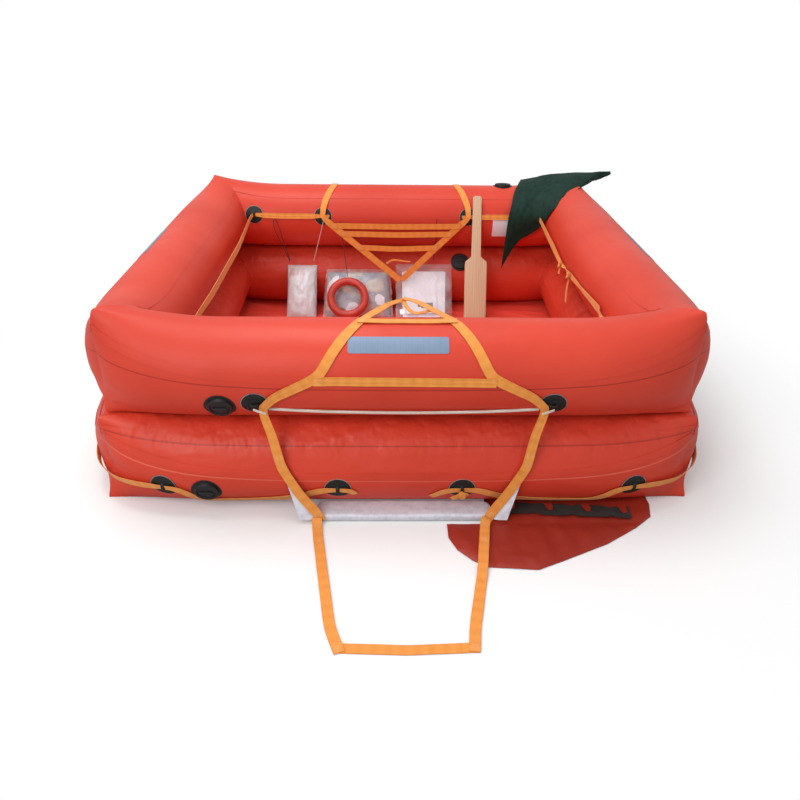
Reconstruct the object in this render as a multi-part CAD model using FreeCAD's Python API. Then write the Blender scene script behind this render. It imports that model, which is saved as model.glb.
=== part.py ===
import FreeCAD, Part
import math
import os

# An open inflatable life raft: two stacked buoyancy tubes bent into a rectangle with pillow corners, a
# fabric floor, webbing lifelines and ladders, valves, a gas inflation set and the equipment stowed inside.
# Millimetres, +Z up. The origin is on the ground under the middle of the raft, and the boarding side with
# the reflective tape and the white step faces -Y.

os.makedirs("parts", exist_ok=True)

# Buoyancy tubes
hullWidth = 2000.0
hullDepth = 1880.0
upperRadius = 146.0
lowerRadius = 151.0
lowerSpread = 18.0  # the lower tube's centre line stands this far outside the upper one's
bondGap = 0.3  # between pieces that are glued or that lie on each other
groundSink = 10.0  # how far the lower tube is pressed flat on the ground
cornerLength = 330.0  # the stretch before each corner in which the round tube turns into the pillow
cornerPull = 120.0  # how far a corner's outer wall is drawn in from the round tube
peakRise = 42.0  # how far the upper tube's corners rise above its crest
peakLean = 25.0
footLean = 45.0
tubeFacets = 32
cornerShares = (0.0, 0.3, 0.65, 1.0)

# Floor
floorThickness = 3.0
floorHeight = 0.0

# Webbing and its patches
webWidth = 30.0
webThickness = 2.0
webLift = 1.4  # webbing over a round tube stands this far off at its middle line
gatheredWidth = 14.0  # the webbing's width where it is gathered through an eye
patchRadius = 41.0
patchThickness = 2.5
eyeLength = 30.0
eyeWidth = 11.0
eyeWall = 4.5
eyeOpening = 5.5
discSides = 14
discStrips = 8
lowerPatchAngle = -14.0
outerPatchPlaces = (188.0, 715.0)
sidePatchPlace = 430.0
ladderPatchPlace = 425.0
ladderPatchAngle = -20.0
innerPatchPlaces = (344.0, 667.0)
innerPatchAngle = 166.0
frontInnerPatchPlace = 655.0

# Reflective tapes and the label
tapeLength = 284.0
tapeWidth = 52.0
tapeThickness = 0.7
tapeAngle = 52.0
labelWidth = 84.0
labelHeight = 90.0
labelPlace = 505.0
labelAngle = 186.0

# Valves
valveRadius = 38.0
valveHeight = 9.0
valveRecess = 27.5
valveRecessDepth = 6.5
capClearance = 0.5
capThickness = 5.0
capHubRadius = 8.0
capHubLength = 2.2
hubClearance = 0.05
gripLength = 40.0
gripWidth = 7.0
gripHeight = 5.0

# Front ladder and step
rungAngle = 11.0
stepLength = 512.0
stepThickness = 26.0
stepFront = 1015.0  # distance of the step's front edge from the raft's middle
loopReach = 1475.0  # distance of the ladder's lowest loop from the raft's middle
loopLowWidth = 340.0
tipHeight = 600.0
tipPlace = 668.0
lashingDiameter = 9.0

# Gas cylinder set on the outside of the rear wall
gasRadius = 55.0
gasLength = 330.0
neckRadius = 14.0
neckLength = 14.0
headRadius = 22.0
headLength = 48.0
pipeRadius = 5.0
inletRadius = 17.0
inletHeight = 7.0

# Stowed equipment
paddleLength = 600.0
paddleThickness = 12.0
bladeLength = 290.0
bladeWidth = 105.0
handleWidth = 46.0
shoulderLength = 34.0
quoitRadius = 101.0
quoitSection = 19.0
packWidth, packLength, packThickness = 144.0, 262.0, 50.0
bagWidth, bagLength, bagThickness = 345.0, 262.0, 104.0
pouchWidth, pouchLength, pouchThickness = 276.0, 290.0, 28.0
equipmentPlace = 500.0  # distance of the packs' lower edges behind the raft's middle

# Ballast pocket on the ground
pocketThickness = 12.0

ladderShift = 10.0  # the front ladder stands this far to +X of the middle
rearStrapPlace = 320.0
backPatchPlaces = (210.0, 650.0)
veeTip = 188.0  # height of the rear ladder's hanging tip
veeShift = 26.0  # and this far to +X of the middle
veeForward = 44.0  # the tip hangs this far in front of the patches
quoitPlace = 85.0  # the quoit's middle above the bag's lower edge
drogueFolds = (
    ((1073, 930, 626), (1074, 928, 624), (1075, 926, 621), (1076, 924, 618), (1076, 923, 615), (1077, 922, 612)),
    ((1014, 900, 632), (1012, 896, 626), (1010, 893, 618), (1008, 890, 610), (1007, 888, 602), (1006, 886, 595)),
    ((955, 866, 634), (948, 830, 626), (935, 795, 614), (925, 768, 602), (912, 742, 608), (900, 722, 612)),
    ((887, 850, 637), (858, 785, 630), (812, 690, 603), (790, 650, 584), (765, 615, 562), (737, 587, 534)),
    ((748, 842, 629), (722, 780, 610), (698, 721, 584), (670, 660, 538), (677, 626, 484), (681, 628, 425)),
    ((680, 840, 615), (655, 778, 604), (630, 718, 578), (605, 655, 532), (590, 620, 468), (585, 626, 355)),
    ((612, 838, 603), (590, 776, 596), (564, 715, 571), (545, 652, 524), (530, 618, 460), (514, 604, 233)),
)  # a small sea anchor of folded cloth, from its tail to the edge that hangs inside, for a hull of 2000 by 1880

VEC = FreeCAD.Vector
UP = VEC(0, 0, 1)
FRONT, RIGHT, BACK, LEFT = 0, 1, 2, 3

lowerHeight = lowerRadius - groundSink
facet = math.pi / tubeFacets
ringStep = ((upperRadius + lowerRadius) * math.cos(facet) + bondGap - lowerSpread * math.sin(facet)) / math.cos(facet)
upperHeight = lowerHeight + ringStep
floorTop = floorHeight + floorThickness

upper = {
    "radius": upperRadius,
    "halfWidth": hullWidth / 2 - upperRadius,
    "halfDepth": hullDepth / 2 - upperRadius,
    "height": upperHeight,
    "top": upperRadius + peakRise,
    "foot": upperRadius - 1,
    "topLean": peakLean,
    "footLean": 0.0,
}
lower = {
    "radius": lowerRadius,
    "halfWidth": upper["halfWidth"] + lowerSpread,
    "halfDepth": upper["halfDepth"] + lowerSpread,
    "height": lowerHeight,
    "top": lowerRadius - 1,
    "foot": lowerRadius,
    "topLean": 0.0,
    "footLean": footLean,
}


def save(node, *solids):
    shape = solids[0] if len(solids) == 1 else Part.Compound(list(solids))
    shape.exportStep("parts/" + node + ".step")
    print(node, len(solids), round(shape.Volume / 1000.0, 1), "cm3")


def turned(side):
    return FreeCAD.Rotation(UP, 90 * side)


def runOf(ring, side):
    return ring["halfWidth"] if side in (FRONT, BACK) else ring["halfDepth"]


def halfOf(ring, side):
    return ring["halfDepth"] if side in (FRONT, BACK) else ring["halfWidth"]


def section(ring, weight, angle, lift=0.0):
    """How far out and up a point of the tube's section is, from a round tube to the corner's pillow."""
    c, s = math.cos(angle), math.sin(angle)
    r = ring["radius"] + lift
    out = (r - cornerPull) * c ** 0.75 if c > 0 else r * c
    out += (ring["topLean"] if s > 0 else ring["footLean"]) * s * s
    up = ((ring["top"] if s > 0 else ring["foot"]) + lift) * s
    return r * c + weight * (out - r * c), r * s + weight * (up - r * s)


def tubePoint(ring, side, along, degrees, lift=0.0):
    """A point on a tube's surface: along its side, and round its section from the outer wall upwards."""
    run, half = runOf(ring, side), halfOf(ring, side)
    angle = math.radians(degrees)
    distance = run - abs(along)
    for step in range(6):
        share = min(max(distance / cornerLength, 0.0), 1.0)
        out, up = section(ring, (1 - share) ** 2, angle, lift)
        distance = run + out * (1 - share) - abs(along)
    return turned(side).multVec(VEC(along, -(half + out), ring["height"] + up))


def tubeNormal(side, degrees):
    angle = math.radians(degrees)
    return turned(side).multVec(VEC(0, -math.cos(angle), math.sin(angle)))


def flatFaces(a, b, c, d):
    """One face for a flat four-sided patch, or two for a twisted one."""
    normal = (b - a).cross(c - a)
    if normal.Length > 1e-9 and abs(normal.normalize().dot(d - a)) < 1e-6:
        return [Part.Face(Part.makePolygon([a, b, c, d, a]))]
    return [Part.Face(Part.makePolygon([a, b, c, a])), Part.Face(Part.makePolygon([a, c, d, a]))]


def closed(faces):
    shell = Part.Compound(faces)
    shell.sewShape()
    solid = Part.Solid(shell.Shells[0])
    if solid.Volume < 0:
        solid.reverse()
    return solid


def skinned(loops, ring=False, cloth=False):
    """A closed solid through loops of equally many points, joined end to end or capped.

    A cloth's loops run along its top and back along its underside, and are capped between the two."""
    count = len(loops[0])
    faces = []
    for a, b in zip(loops, loops[1:] + loops[:1] if ring else loops[1:]):
        for k in range(count):
            n = (k + 1) % count
            faces += flatFaces(a[k], a[n], b[n], b[k])
    for end in (loops[0], loops[-1]) if cloth else ():
        for k in range(count // 2 - 1):
            faces += flatFaces(end[k], end[k + 1], end[count - 2 - k], end[count - 1 - k])
    for end in () if ring or cloth else (loops[0], loops[-1]):
        middle = VEC(0, 0, 0)
        for p in end:
            middle += p
        middle = middle / count
        faces += [Part.Face(Part.makePolygon([end[k], end[(k + 1) % count], middle, end[k]])) for k in range(count)]
    return closed(faces)


def buoyancyTube(ring):
    loops = []
    for side in range(4):
        run, half = runOf(ring, side), halfOf(ring, side)
        ends = [(-1, share) for share in cornerShares] + [(1, share) for share in reversed(cornerShares[1:])]
        for end, share in ends:
            loop = []
            for k in range(tubeFacets):
                out, up = section(ring, (1 - share) ** 2, 2 * math.pi * k / tubeFacets)
                along = end * (run - cornerLength * share + out * (1 - share))
                height = max(ring["height"] + up, 0.0)
                loop.append(turned(side).multVec(VEC(along, -(half + out), height)))
            loops.append(loop)
    return skinned(loops, ring=True)


def floorPanel():
    reach = math.sqrt(lowerRadius ** 2 - (lowerHeight - floorTop) ** 2) + bondGap
    wide, deep = lower["halfWidth"] - reach, lower["halfDepth"] - reach
    return Part.makeBox(2 * wide, 2 * deep, floorThickness, VEC(-wide, -deep, floorHeight))


def onCylinder(ring, side, along, degrees):
    """Rotation and place that bring a piece built on +Z, lying along X, to the tube's outer surface."""
    normal = tubeNormal(side, degrees)
    axis = turned(side).multVec(VEC(1, 0, 0))
    frame = FreeCAD.Matrix(
        axis.x, normal.cross(axis).x, normal.x, 0,
        axis.y, normal.cross(axis).y, normal.y, 0,
        axis.z, normal.cross(axis).z, normal.z, 0,
        0, 0, 0, 1)
    return FreeCAD.Placement(tubePoint(ring, side, along, degrees), FreeCAD.Rotation(frame))


def tubeWall(ring, length, low, high):
    """A stretch of thick tube wall under the place where a piece is built on +Z, lying along X."""
    outer = Part.makeCylinder(ring["radius"] + high, length, VEC(-length / 2, 0, -ring["radius"]), VEC(1, 0, 0))
    inner = Part.makeCylinder(ring["radius"] + low, length, VEC(-length / 2, 0, -ring["radius"]), VEC(1, 0, 0))
    return outer.cut(inner)


def curvedPanel(ring, length, width, thickness):
    """A flat film glued round a tube, such as a tape or a label."""
    wall = tubeWall(ring, length, bondGap, bondGap + thickness)
    return wall.common(Part.makeBox(length, width, ring["radius"], VEC(-length / 2, -width / 2, -ring["radius"] / 2)))


def placed(shape, placement):
    copy = shape.copy()
    copy.Placement = placement
    return copy


def ringOf(count, radius, height):
    """A level ring of points round Z."""
    return [VEC(radius * math.cos(a), radius * math.sin(a), height)
            for a in (2 * math.pi * k / count for k in range(count))]


def curvedDisc(ring, radius, low, high):
    """A flat disc laid on a tube that lies along X with its crest at Z 0, in narrow flat strips."""
    half = math.asin((radius + 2) / ring["radius"])
    turns = [half * (2 * k / discStrips - 1) for k in range(discStrips + 1)]
    profile = []
    for r, order in ((ring["radius"] + low, turns), (ring["radius"] + high, turns[::-1])):
        profile += [VEC(-radius - 2, r * math.sin(a), r * math.cos(a) - ring["radius"]) for a in order]
    wall = Part.Face(Part.makePolygon(profile + [profile[0]])).extrude(VEC(2 * radius + 4, 0, 0))
    return wall.common(skinned([ringOf(discSides, radius, z) for z in (-radius, radius)]))


def patch(ring, across):
    """A round rubber patch with a moulded eye. The webbing passes through the eye along X, or round the tube."""
    low, high = bondGap, bondGap + patchThickness
    disc = curvedDisc(ring, patchRadius, low, high)
    rise = high + eyeOpening + eyeWall
    eye = Part.makeBox(eyeWidth, eyeLength, rise - low - 1, VEC(-eyeWidth / 2, -eyeLength / 2, low + 1))
    slot = eyeLength - 2 * eyeWall
    hole = Part.makeBox(eyeWidth + 2, slot, eyeOpening, VEC(-eyeWidth / 2 - 1, -slot / 2, high))
    top = [e for e in eye.Edges if min(v.Z for v in e.Vertexes) > rise - 0.1]
    eye = eye.makeChamfer(eyeWall * 0.5, top).cut(hole)
    eye = eye.cut(Part.makeBox(60, 60, 30, VEC(-30, -30, low - 30.2)))
    if across:
        eye.rotate(VEC(0, 0, 0), UP, 90)
    return disc.fuse(eye)


def patches(places, ring, across=False):
    shape = patch(ring, across)
    return [placed(shape, onCylinder(ring, side, along, degrees)) for side, along, degrees in places]


def surfacePlace(ring, side, along, degrees, reach=patchRadius):
    """Like onCylinder, but square to the tube's own wall, also where the corner bends it."""
    ahead = tubePoint(ring, side, along + reach, degrees)
    behind = tubePoint(ring, side, along - reach, degrees)
    above = tubePoint(ring, side, along, degrees + 10)
    below = tubePoint(ring, side, along, degrees - 10)
    axis = (ahead - behind).normalize()
    normal = axis.cross(above - below).normalize()
    other = normal.cross(axis)
    frame = FreeCAD.Matrix(
        axis.x, other.x, normal.x, 0, axis.y, other.y, normal.y, 0, axis.z, other.z, normal.z, 0, 0, 0, 0, 1)
    return FreeCAD.Placement(tubePoint(ring, side, along, degrees), FreeCAD.Rotation(frame))


def cornerPatch(side, along):
    """A lower patch near a corner, seated on the tube's own wall."""
    return placed(patch(lower, False), surfacePlace(lower, side, along, lowerPatchAngle)).cut(lowerTube)


def strap(points, normals, widths, thickness=webThickness):
    """Flat webbing along a path. Each normal points away from what the webbing lies on."""
    loops = []
    for i, point in enumerate(points):
        ahead = points[min(i + 1, len(points) - 1)] - points[max(i - 1, 0)]
        side = normals[i].cross(ahead).normalize() * (widths[i] / 2)
        up = ahead.cross(side)
        up = up.normalize() * thickness if up.dot(normals[i]) > 0 else up.normalize() * -thickness
        loops.append([point - side, point + side, point + side + up, point - side + up])
    return skinned(loops)


def tubeBlock(ring, half):
    """The tube's own flat facets under a piece that is built on +Z, a bond's gap larger."""
    reach = math.asin(half / ring["radius"]) + 0.1
    turns = [reach * (k / 4 - 1) for k in range(9)]
    r = ring["radius"] + bondGap * 1.5
    arc = [VEC(-100, r * math.sin(a), r * math.cos(a) - ring["radius"]) for a in turns]
    arc += [VEC(-100, arc[-1].y, -60), VEC(-100, arc[0].y, -60)]
    return Part.Face(Part.makePolygon(arc + [arc[0]])).extrude(VEC(200, 0, 0))


def valveBody(ring):
    base = skinned([ringOf(20, radius, z) for radius, z in
                    ((valveRadius, -30), (valveRadius, valveHeight - 2), (valveRadius - 2, valveHeight))])
    recess = skinned([ringOf(20, valveRecess, z) for z in (valveHeight - valveRecessDepth, valveHeight + 1)])
    socket = Part.makeCylinder(capHubRadius + hubClearance, capHubLength + hubClearance,
                               VEC(0, 0, valveHeight - valveRecessDepth - capHubLength - hubClearance))
    return base.cut(tubeBlock(ring, valveRadius + 2)).cut(recess).cut(socket)


def valveCap():
    seat = valveHeight - valveRecessDepth + hubClearance
    rim = ringOf(20, valveRecess - capClearance, seat)
    disc = Part.Face(Part.makePolygon(rim + [rim[0]]))
    disc = disc.extrude(VEC(0, 0, capThickness))
    hub = Part.makeCylinder(capHubRadius, capHubLength, VEC(0, 0, seat - capHubLength))
    grip = Part.makeBox(gripLength, gripWidth, gripHeight,
                        VEC(-gripLength / 2, -gripWidth / 2, seat + capThickness - 0.5))
    grip = grip.makeChamfer(1.5, [e for e in grip.Edges if e.BoundBox.ZMin > seat + capThickness + 1])
    return disc.fuse([hub, grip]).removeSplitter()


valvePlaces = {
    "upper": (upper, FRONT, -517.0, -25.0),
    "lower": (lower, FRONT, -585.0, -18.0),
    "rear": (upper, BACK, -521.0, 84.0),
    "inner": (lower, BACK, -322.0, 141.0),
}


def makeValves():
    bodies = []
    for name, (ring, side, along, degrees) in valvePlaces.items():
        place = onCylinder(ring, side, along, degrees)
        bodies.append(placed(valveBody(ring), place).cut(upperTube if ring is upper else lowerTube))
        save("valve_cap_" + name, placed(valveCap(), place))
        print("valve", name, "axis", tubeNormal(side, degrees), "at", place.Base)
    save("valve_bodies", *bodies)


def makePatches():
    near, far = outerPatchPlaces
    outer = [(FRONT, -near, lowerPatchAngle), (FRONT, near, lowerPatchAngle)]
    outer += [(side, along, lowerPatchAngle) for side in (LEFT, RIGHT) for along in (-sidePatchPlace, sidePatchPlace)]
    inside, outside = backPatchPlaces
    outer += [(BACK, along, lowerPatchAngle) for along in (-inside, inside)]
    corner = [cornerPatch(FRONT, -far), cornerPatch(FRONT, far), cornerPatch(BACK, -outside), cornerPatch(BACK, outside)]
    save("outer_lifeline_patches", *patches(outer, lower), *corner)
    inner = [(BACK, along, innerPatchAngle) for place in innerPatchPlaces for along in (-place, place)]
    inner += [(FRONT, along, innerPatchAngle) for along in (-frontInnerPatchPlace, frontInnerPatchPlace)]
    save("inner_lifeline_patches", *[eye.cut(upperTube) for eye in patches(inner, upper)])
    ladder = [(FRONT, side * ladderPatchPlace + ladderShift, ladderPatchAngle) for side in (-1, 1)]
    ladder += [(BACK, side * (rearStrapPlace + 10), ladderPatchAngle) for side in (-1, 1)]
    save("ladder_patches", *patches(ladder, upper, across=True))


def makeFilms():
    tape = curvedPanel(upper, tapeLength, tapeWidth, tapeThickness)
    for name, side in (("front", FRONT), ("right", RIGHT), ("rear", BACK), ("left", LEFT)):
        save(name + "_reflective_tape", placed(tape, onCylinder(upper, side, -8.0 if side == FRONT else 0.0, tapeAngle)))
    label = curvedPanel(upper, labelWidth, labelHeight, tapeThickness)
    save("blank_label", placed(label, onCylinder(upper, BACK, -labelPlace, labelAngle)))


def stop(ring, side, along, degrees, width=webWidth, lift=webLift):
    return {"ring": ring, "side": side, "along": along, "degrees": degrees, "width": width, "lift": lift}


def loose(x, y, z, normal, width=webWidth):
    return {"point": VEC(x, y, z), "normal": VEC(*normal), "width": width}


def webbing(stops):
    """Webbing through stops: those on a tube follow its surface, and loose ones are free points."""
    points, normals, widths = [], [], []
    for i, a in enumerate(stops):
        b = stops[i + 1] if i + 1 < len(stops) else a
        if "point" in a:
            points.append(a["point"])
            normals.append(a["normal"])
            widths.append(a["width"])
            continue
        steps = 1
        if b is not a and "ring" in b and b["ring"] is a["ring"] and b["side"] == a["side"]:
            corner = runOf(a["ring"], a["side"]) - cornerLength
            steps = max(math.ceil(abs(b["degrees"] - a["degrees"]) / 9), 1)
            if max(abs(a["along"]), abs(b["along"])) > corner:
                steps = max(steps, math.ceil(abs(b["along"] - a["along"]) / 70))
        for k in range(steps):
            t = k / steps
            at = {n: a[n] + (b.get(n, a[n]) - a[n]) * t for n in ("along", "degrees", "width", "lift")}
            points.append(tubePoint(a["ring"], a["side"], at["along"], at["degrees"], at["lift"]))
            normals.append(tubeNormal(a["side"], at["degrees"]))
            widths.append(at["width"])
    return strap(points, normals, widths)


def mirrored(shape):
    return shape.mirror(VEC(0, 0, 0), VEC(1, 0, 0))


eyeLift = bondGap + patchThickness + (eyeOpening - webThickness) / 2
eyeTop = bondGap + patchThickness + eyeOpening + eyeWall
clearDisc = bondGap * 2 + patchThickness


def eyeStops(ring, side, along, degrees, step=1, over=0.0):
    """Webbing gathered through the eye of a patch, the run to it at half its width over the disc."""
    half, reach = eyeWidth / 2 + 4, patchRadius + 6
    place = surfacePlace(ring, side, along, degrees) if over else onCylinder(ring, side, along, degrees)
    normal = place.Rotation.multVec(UP)
    inside = [{"point": place.multVec(VEC(step * x, 0, eyeLift)), "normal": normal, "width": gatheredWidth}
              for x in (-half, half)]
    return ([stop(ring, side, along - step * reach, degrees, 24, clearDisc + over)] + inside
            + [stop(ring, side, along + step * reach, degrees, 24, clearDisc + over)])


def outerLifeline():
    """The right half: from the tied end at the front round the right side to the middle of the back."""
    near, far = outerPatchPlaces
    edge = halfEdge(lower, lowerPatchAngle - 4)
    stops = [stop(lower, FRONT, near - 62, lowerPatchAngle - 3, 20)] + eyeStops(lower, FRONT, near, lowerPatchAngle)
    stops += [stop(lower, FRONT, near + 160, -34), stop(lower, FRONT, (near + far) / 2, -41),
              stop(lower, FRONT, far - 120, -43)]
    stops += eyeStops(lower, FRONT, far, lowerPatchAngle, 1, 2.5)
    stops += [stop(lower, FRONT, edgeBack(lowerPatchAngle - 4) - 3, lowerPatchAngle - 4, 24, clearDisc + 3.5)]
    stops += [stop(lower, RIGHT, 3 - edge, lowerPatchAngle - 4, 24, clearDisc + 3.5)]
    stops += [stop(lower, RIGHT, -sidePatchPlace - 130, lowerPatchAngle - 6)]
    stops += eyeStops(lower, RIGHT, -sidePatchPlace, lowerPatchAngle)
    stops += [stop(lower, RIGHT, -200, -30), stop(lower, RIGHT, 0, -34), stop(lower, RIGHT, 200, -30)]
    stops += eyeStops(lower, RIGHT, sidePatchPlace, lowerPatchAngle)
    stops += [stop(lower, RIGHT, sidePatchPlace + 130, lowerPatchAngle - 6)]
    stops += [stop(lower, RIGHT, edge - 3, lowerPatchAngle - 4, 24, clearDisc + 3.5)]
    stops += [stop(lower, BACK, 3 - edgeBack(lowerPatchAngle - 4), lowerPatchAngle - 4, 24, clearDisc + 3.5)]
    stops += [stop(lower, BACK, -backPatchPlaces[1] - 130, lowerPatchAngle - 6)]
    stops += eyeStops(lower, BACK, -backPatchPlaces[1], lowerPatchAngle, 1, 1.1)
    stops += [stop(lower, BACK, -sum(backPatchPlaces) / 2, -30)]
    stops += eyeStops(lower, BACK, -backPatchPlaces[0], lowerPatchAngle)
    return webbing(stops + [stop(lower, BACK, -backPatchPlaces[0] + 100, lowerPatchAngle - 5)])


def halfEdge(ring, degrees):
    """How far along a side its mitre with the next side lies, at an angle round the section."""
    out, up = section(ring, 1.0, math.radians(degrees))
    return runOf(ring, RIGHT) + out


def edgeBack(degrees):
    out, up = section(lower, 1.0, math.radians(degrees))
    return runOf(lower, BACK) + out


def innerLifeline(knots):
    """The right half, from the ladder's patch to the corner patch and straight along the side."""
    near, far = innerPatchPlaces
    y, z = upper["halfDepth"], upper["height"]
    reach = upperRadius + eyeLift + 1
    back = VEC(far, y - reach * math.cos(math.radians(180 - innerPatchAngle)), 0)
    height = z + reach * math.sin(math.radians(innerPatchAngle))
    half = eyeWidth / 2 + 4
    stops = [stop(upper, BACK, -near + 30, innerPatchAngle, gatheredWidth, eyeLift)]
    stops += eyeStops(upper, BACK, -near, innerPatchAngle, -1)[1:]
    stops += eyeStops(upper, BACK, -far, innerPatchAngle, -1)[:3]
    stops += [loose(far + half + 4, back.y - 4, height, (-0.7, -0.7, 0), gatheredWidth)]
    stops += [loose(far + half + 6, back.y - 30, height - 2, (-1, 0, 0), 20)]
    stops += [loose(x, place, height - fall, (-1, 0, 0), width) for x, place, fall, width in knots]
    front = frontInnerPatchPlace
    stops += [loose(front + half + 6, -back.y + 30, height - 2, (-1, 0, 0), 20)]
    stops += [loose(front + half + 4, -back.y + 4, height, (-0.7, 0.7, 0), gatheredWidth)]
    stops += eyeStops(upper, FRONT, front, innerPatchAngle, -1)[1:3]
    return webbing(stops)


def frontStrap(side):
    """A ladder strap: from the tip over the upper tube, through its patch's eye and down to the step."""
    place = side * ladderPatchPlace + ladderShift
    eye = [(11, gatheredWidth + 4, eyeLift), (-11, gatheredWidth + 4, eyeLift)]
    around = 180 / math.pi / upperRadius
    over = 1.4 * side
    stops = [loose(ladderShift + 2 + side * 4, -tipPlace, tipHeight + over, (0, 0.1, 1), 22)]
    stops += [stop(upper, FRONT, side * 122 + ladderShift + 8, 98), stop(upper, FRONT, side * 147 + ladderShift + 8, 80)]
    stops += [stop(upper, FRONT, side * 243 + ladderShift, rungAngle + 4)]
    stops += [stop(upper, FRONT, place - side * 18, ladderPatchAngle + (patchRadius + 8) * around, 26, clearDisc)]
    stops += [stop(upper, FRONT, place, ladderPatchAngle + a * around, w, lift) for a, w, lift in eye]
    stops += [loose(place - side * 22, -upper["halfDepth"] - 150, upper["height"] - 96, (0, -1, -0.1), 26)]
    stops += [stop(lower, FRONT, place - side * 62, 38), stop(lower, FRONT, place - side * 102, 2)]
    foot = -(lower["halfDepth"] + lowerRadius + webLift + 7)
    end = side * (stepLength / 2 - 38) + ladderShift
    stops += [loose(end, foot, stepThickness + 26, (0, -1, 0)), loose(end, foot - 8, stepThickness + 5, (0, -1, 0.6))]
    stops += [loose(end, foot - 38, stepThickness + bondGap, (0, 0, 1))]
    return webbing(stops)


def rung(ring, side, half, degrees, middle, over):
    """A rung stitched on the straps at its two ends and lying on the tube between them."""
    stops = [stop(ring, side, middle - half - 12, degrees, webWidth, over)]
    stops += [stop(ring, side, middle - half + 34, degrees, webWidth, over), stop(ring, side, middle - half + 60, degrees)]
    stops += [stop(ring, side, middle + half - 60, degrees), stop(ring, side, middle + half - 34, degrees, webWidth, over)]
    return webbing(stops + [stop(ring, side, middle + half + 12, degrees, webWidth, over)])


def rearStrap(shift):
    """The rear ladder's strap at -X: from the outside patch over the crest, then hanging as half a V."""
    around = 180 / math.pi / upperRadius
    place = rearStrapPlace
    stops = [stop(upper, BACK, place + 10, ladderPatchAngle - 16 * around, gatheredWidth + 4, eyeLift)]
    stops += [stop(upper, BACK, place + 10, ladderPatchAngle + 14 * around, gatheredWidth + 4, eyeLift)]
    stops += [stop(upper, BACK, place, ladderPatchAngle + (patchRadius + 8) * around, 26, clearDisc)]
    stops += [stop(upper, BACK, place - 30, 90), stop(upper, BACK, innerPatchPlaces[0] - 10, 140)]
    stops += [stop(upper, BACK, innerPatchPlaces[0], innerPatchAngle - 10, 26, eyeTop + 1)]
    stops += [stop(upper, BACK, innerPatchPlaces[0], innerPatchAngle + 2, 24, eyeTop + 2)]
    out = upper["halfDepth"] - upperRadius - eyeTop - 3
    top = upper["height"] + upperRadius * math.sin(math.radians(innerPatchAngle)) - 30
    stops += [loose(-innerPatchPlaces[0] + 34, out, top, (0, -1, 0))]
    return webbing(stops + [loose(shift - 16, out - veeForward, veeTip, (0, -1, 0))])


def rearRungs():
    out = upper["halfDepth"] - upperRadius - eyeTop - 3 - webThickness - bondGap * 2
    top = upper["height"] + upperRadius * math.sin(math.radians(innerPatchAngle)) - 30
    rungs = [rung(upper, BACK, rearStrapPlace - 6, rungAngle, 0, 5.1)]
    for share in (0.03, 0.17, 0.42):
        half = (innerPatchPlaces[0] - 34) * (1 - share) + 16 * share + 4
        height = top + (veeTip - top) * share
        deep = out - veeForward * share - 3.5
        move = veeShift * share
        rungs.append(strap([VEC(move - half, deep, height), VEC(move + half, deep, height)], [VEC(0, -1, 0)] * 2, [26, 26]))
    return rungs


def footLoop():
    """A webbing foot loop under the rear ladder, from patch to patch across the lower tube."""
    around = 180 / math.pi / upperRadius
    half = []
    for side in (-1, 1):
        place = side * (rearStrapPlace + 10)
        run = [stop(upper, BACK, place, ladderPatchAngle - 21 * around, gatheredWidth + 4, eyeLift)]
        run += [loose(-place + side * 6, upper["halfDepth"] + 148, upper["height"] - 100, (0, 1, 0), 26)]
        run += [stop(lower, BACK, place - side * 20, 40), stop(lower, BACK, place - side * 40, 16)]
        half.append(run)
    low = [stop(lower, BACK, -rearStrapPlace + 80, 12), stop(lower, BACK, rearStrapPlace - 80, 12)]
    return webbing(half[0] + low + half[1][::-1])


def stepLoop():
    """The ladder's lowest loop, spread on the ground in front of the step."""
    low, front = bondGap, -stepFront - bondGap * 2
    half = stepLength / 2 - 14
    stops = [loose(ladderShift - half, front, stepThickness - 3, (0, -1, 0)), loose(ladderShift - half, front - 1, 8, (0, -1, 0.2))]
    stops += [loose(ladderShift - half + 4, front - 16, low, (0, 0, 1))]
    stops += [loose(ladderShift - loopLowWidth / 2, -loopReach + 35, low, (0, 0, 1)), loose(ladderShift + 4, -loopReach, low, (0, 0, 1))]
    stops += [loose(ladderShift + loopLowWidth / 2, -loopReach + 15, low, (0, 0, 1))]
    over = pocketThickness + bondGap * 5
    stops += [loose(ladderShift + half - 42, -1262, low, (0, 0, 1)), loose(ladderShift + half - 33, -1212, over, (0, 0, 1))]
    stops += [loose(ladderShift + half - 6, front - 14, over, (0, -0.3, 1)), loose(ladderShift + half, front, stepThickness - 3, (0, -1, 0.1))]
    return webbing(stops)


def boardingStep():
    """A stiffened pad with rounded long edges, lying on the ground against the lower tube."""
    back = lower["halfDepth"] + math.sqrt(lowerRadius ** 2 - (lowerHeight - stepThickness) ** 2) + 1.5
    pad = Part.makeBox(stepLength, stepFront - back, stepThickness, VEC(ladderShift - stepLength / 2, -stepFront, 0))
    long = [e for e in pad.Edges if e.BoundBox.XLength > stepLength - 1 and e.BoundBox.ZMin > 1]
    return pad.makeFillet(5, long)


def gusset(side):
    """A narrow stay from the lower tube to the step's end."""
    place = side * (stepLength / 2 + 98) + ladderShift
    end = side * (stepLength / 2 + bondGap + 2) + ladderShift
    low = -(lower["halfDepth"] + 116)
    stops = [stop(lower, FRONT, place, -4, 22), stop(lower, FRONT, place - side * 12, -12, 20)]
    stops += [loose(end + side * 14, low - 22, stepThickness + 8, (side * 0.5, -0.9, 0.2), 18)]
    return webbing(stops + [loose(end, low - 36, stepThickness - 7, (side, -0.3, 0), 11)])


def sagging(a, b, sag, count):
    points = []
    for k in range(count + 1):
        t = k / count
        points.append(a + (b - a) * t - VEC(0, 0, 4 * sag * t * (1 - t)))
    return points


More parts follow.
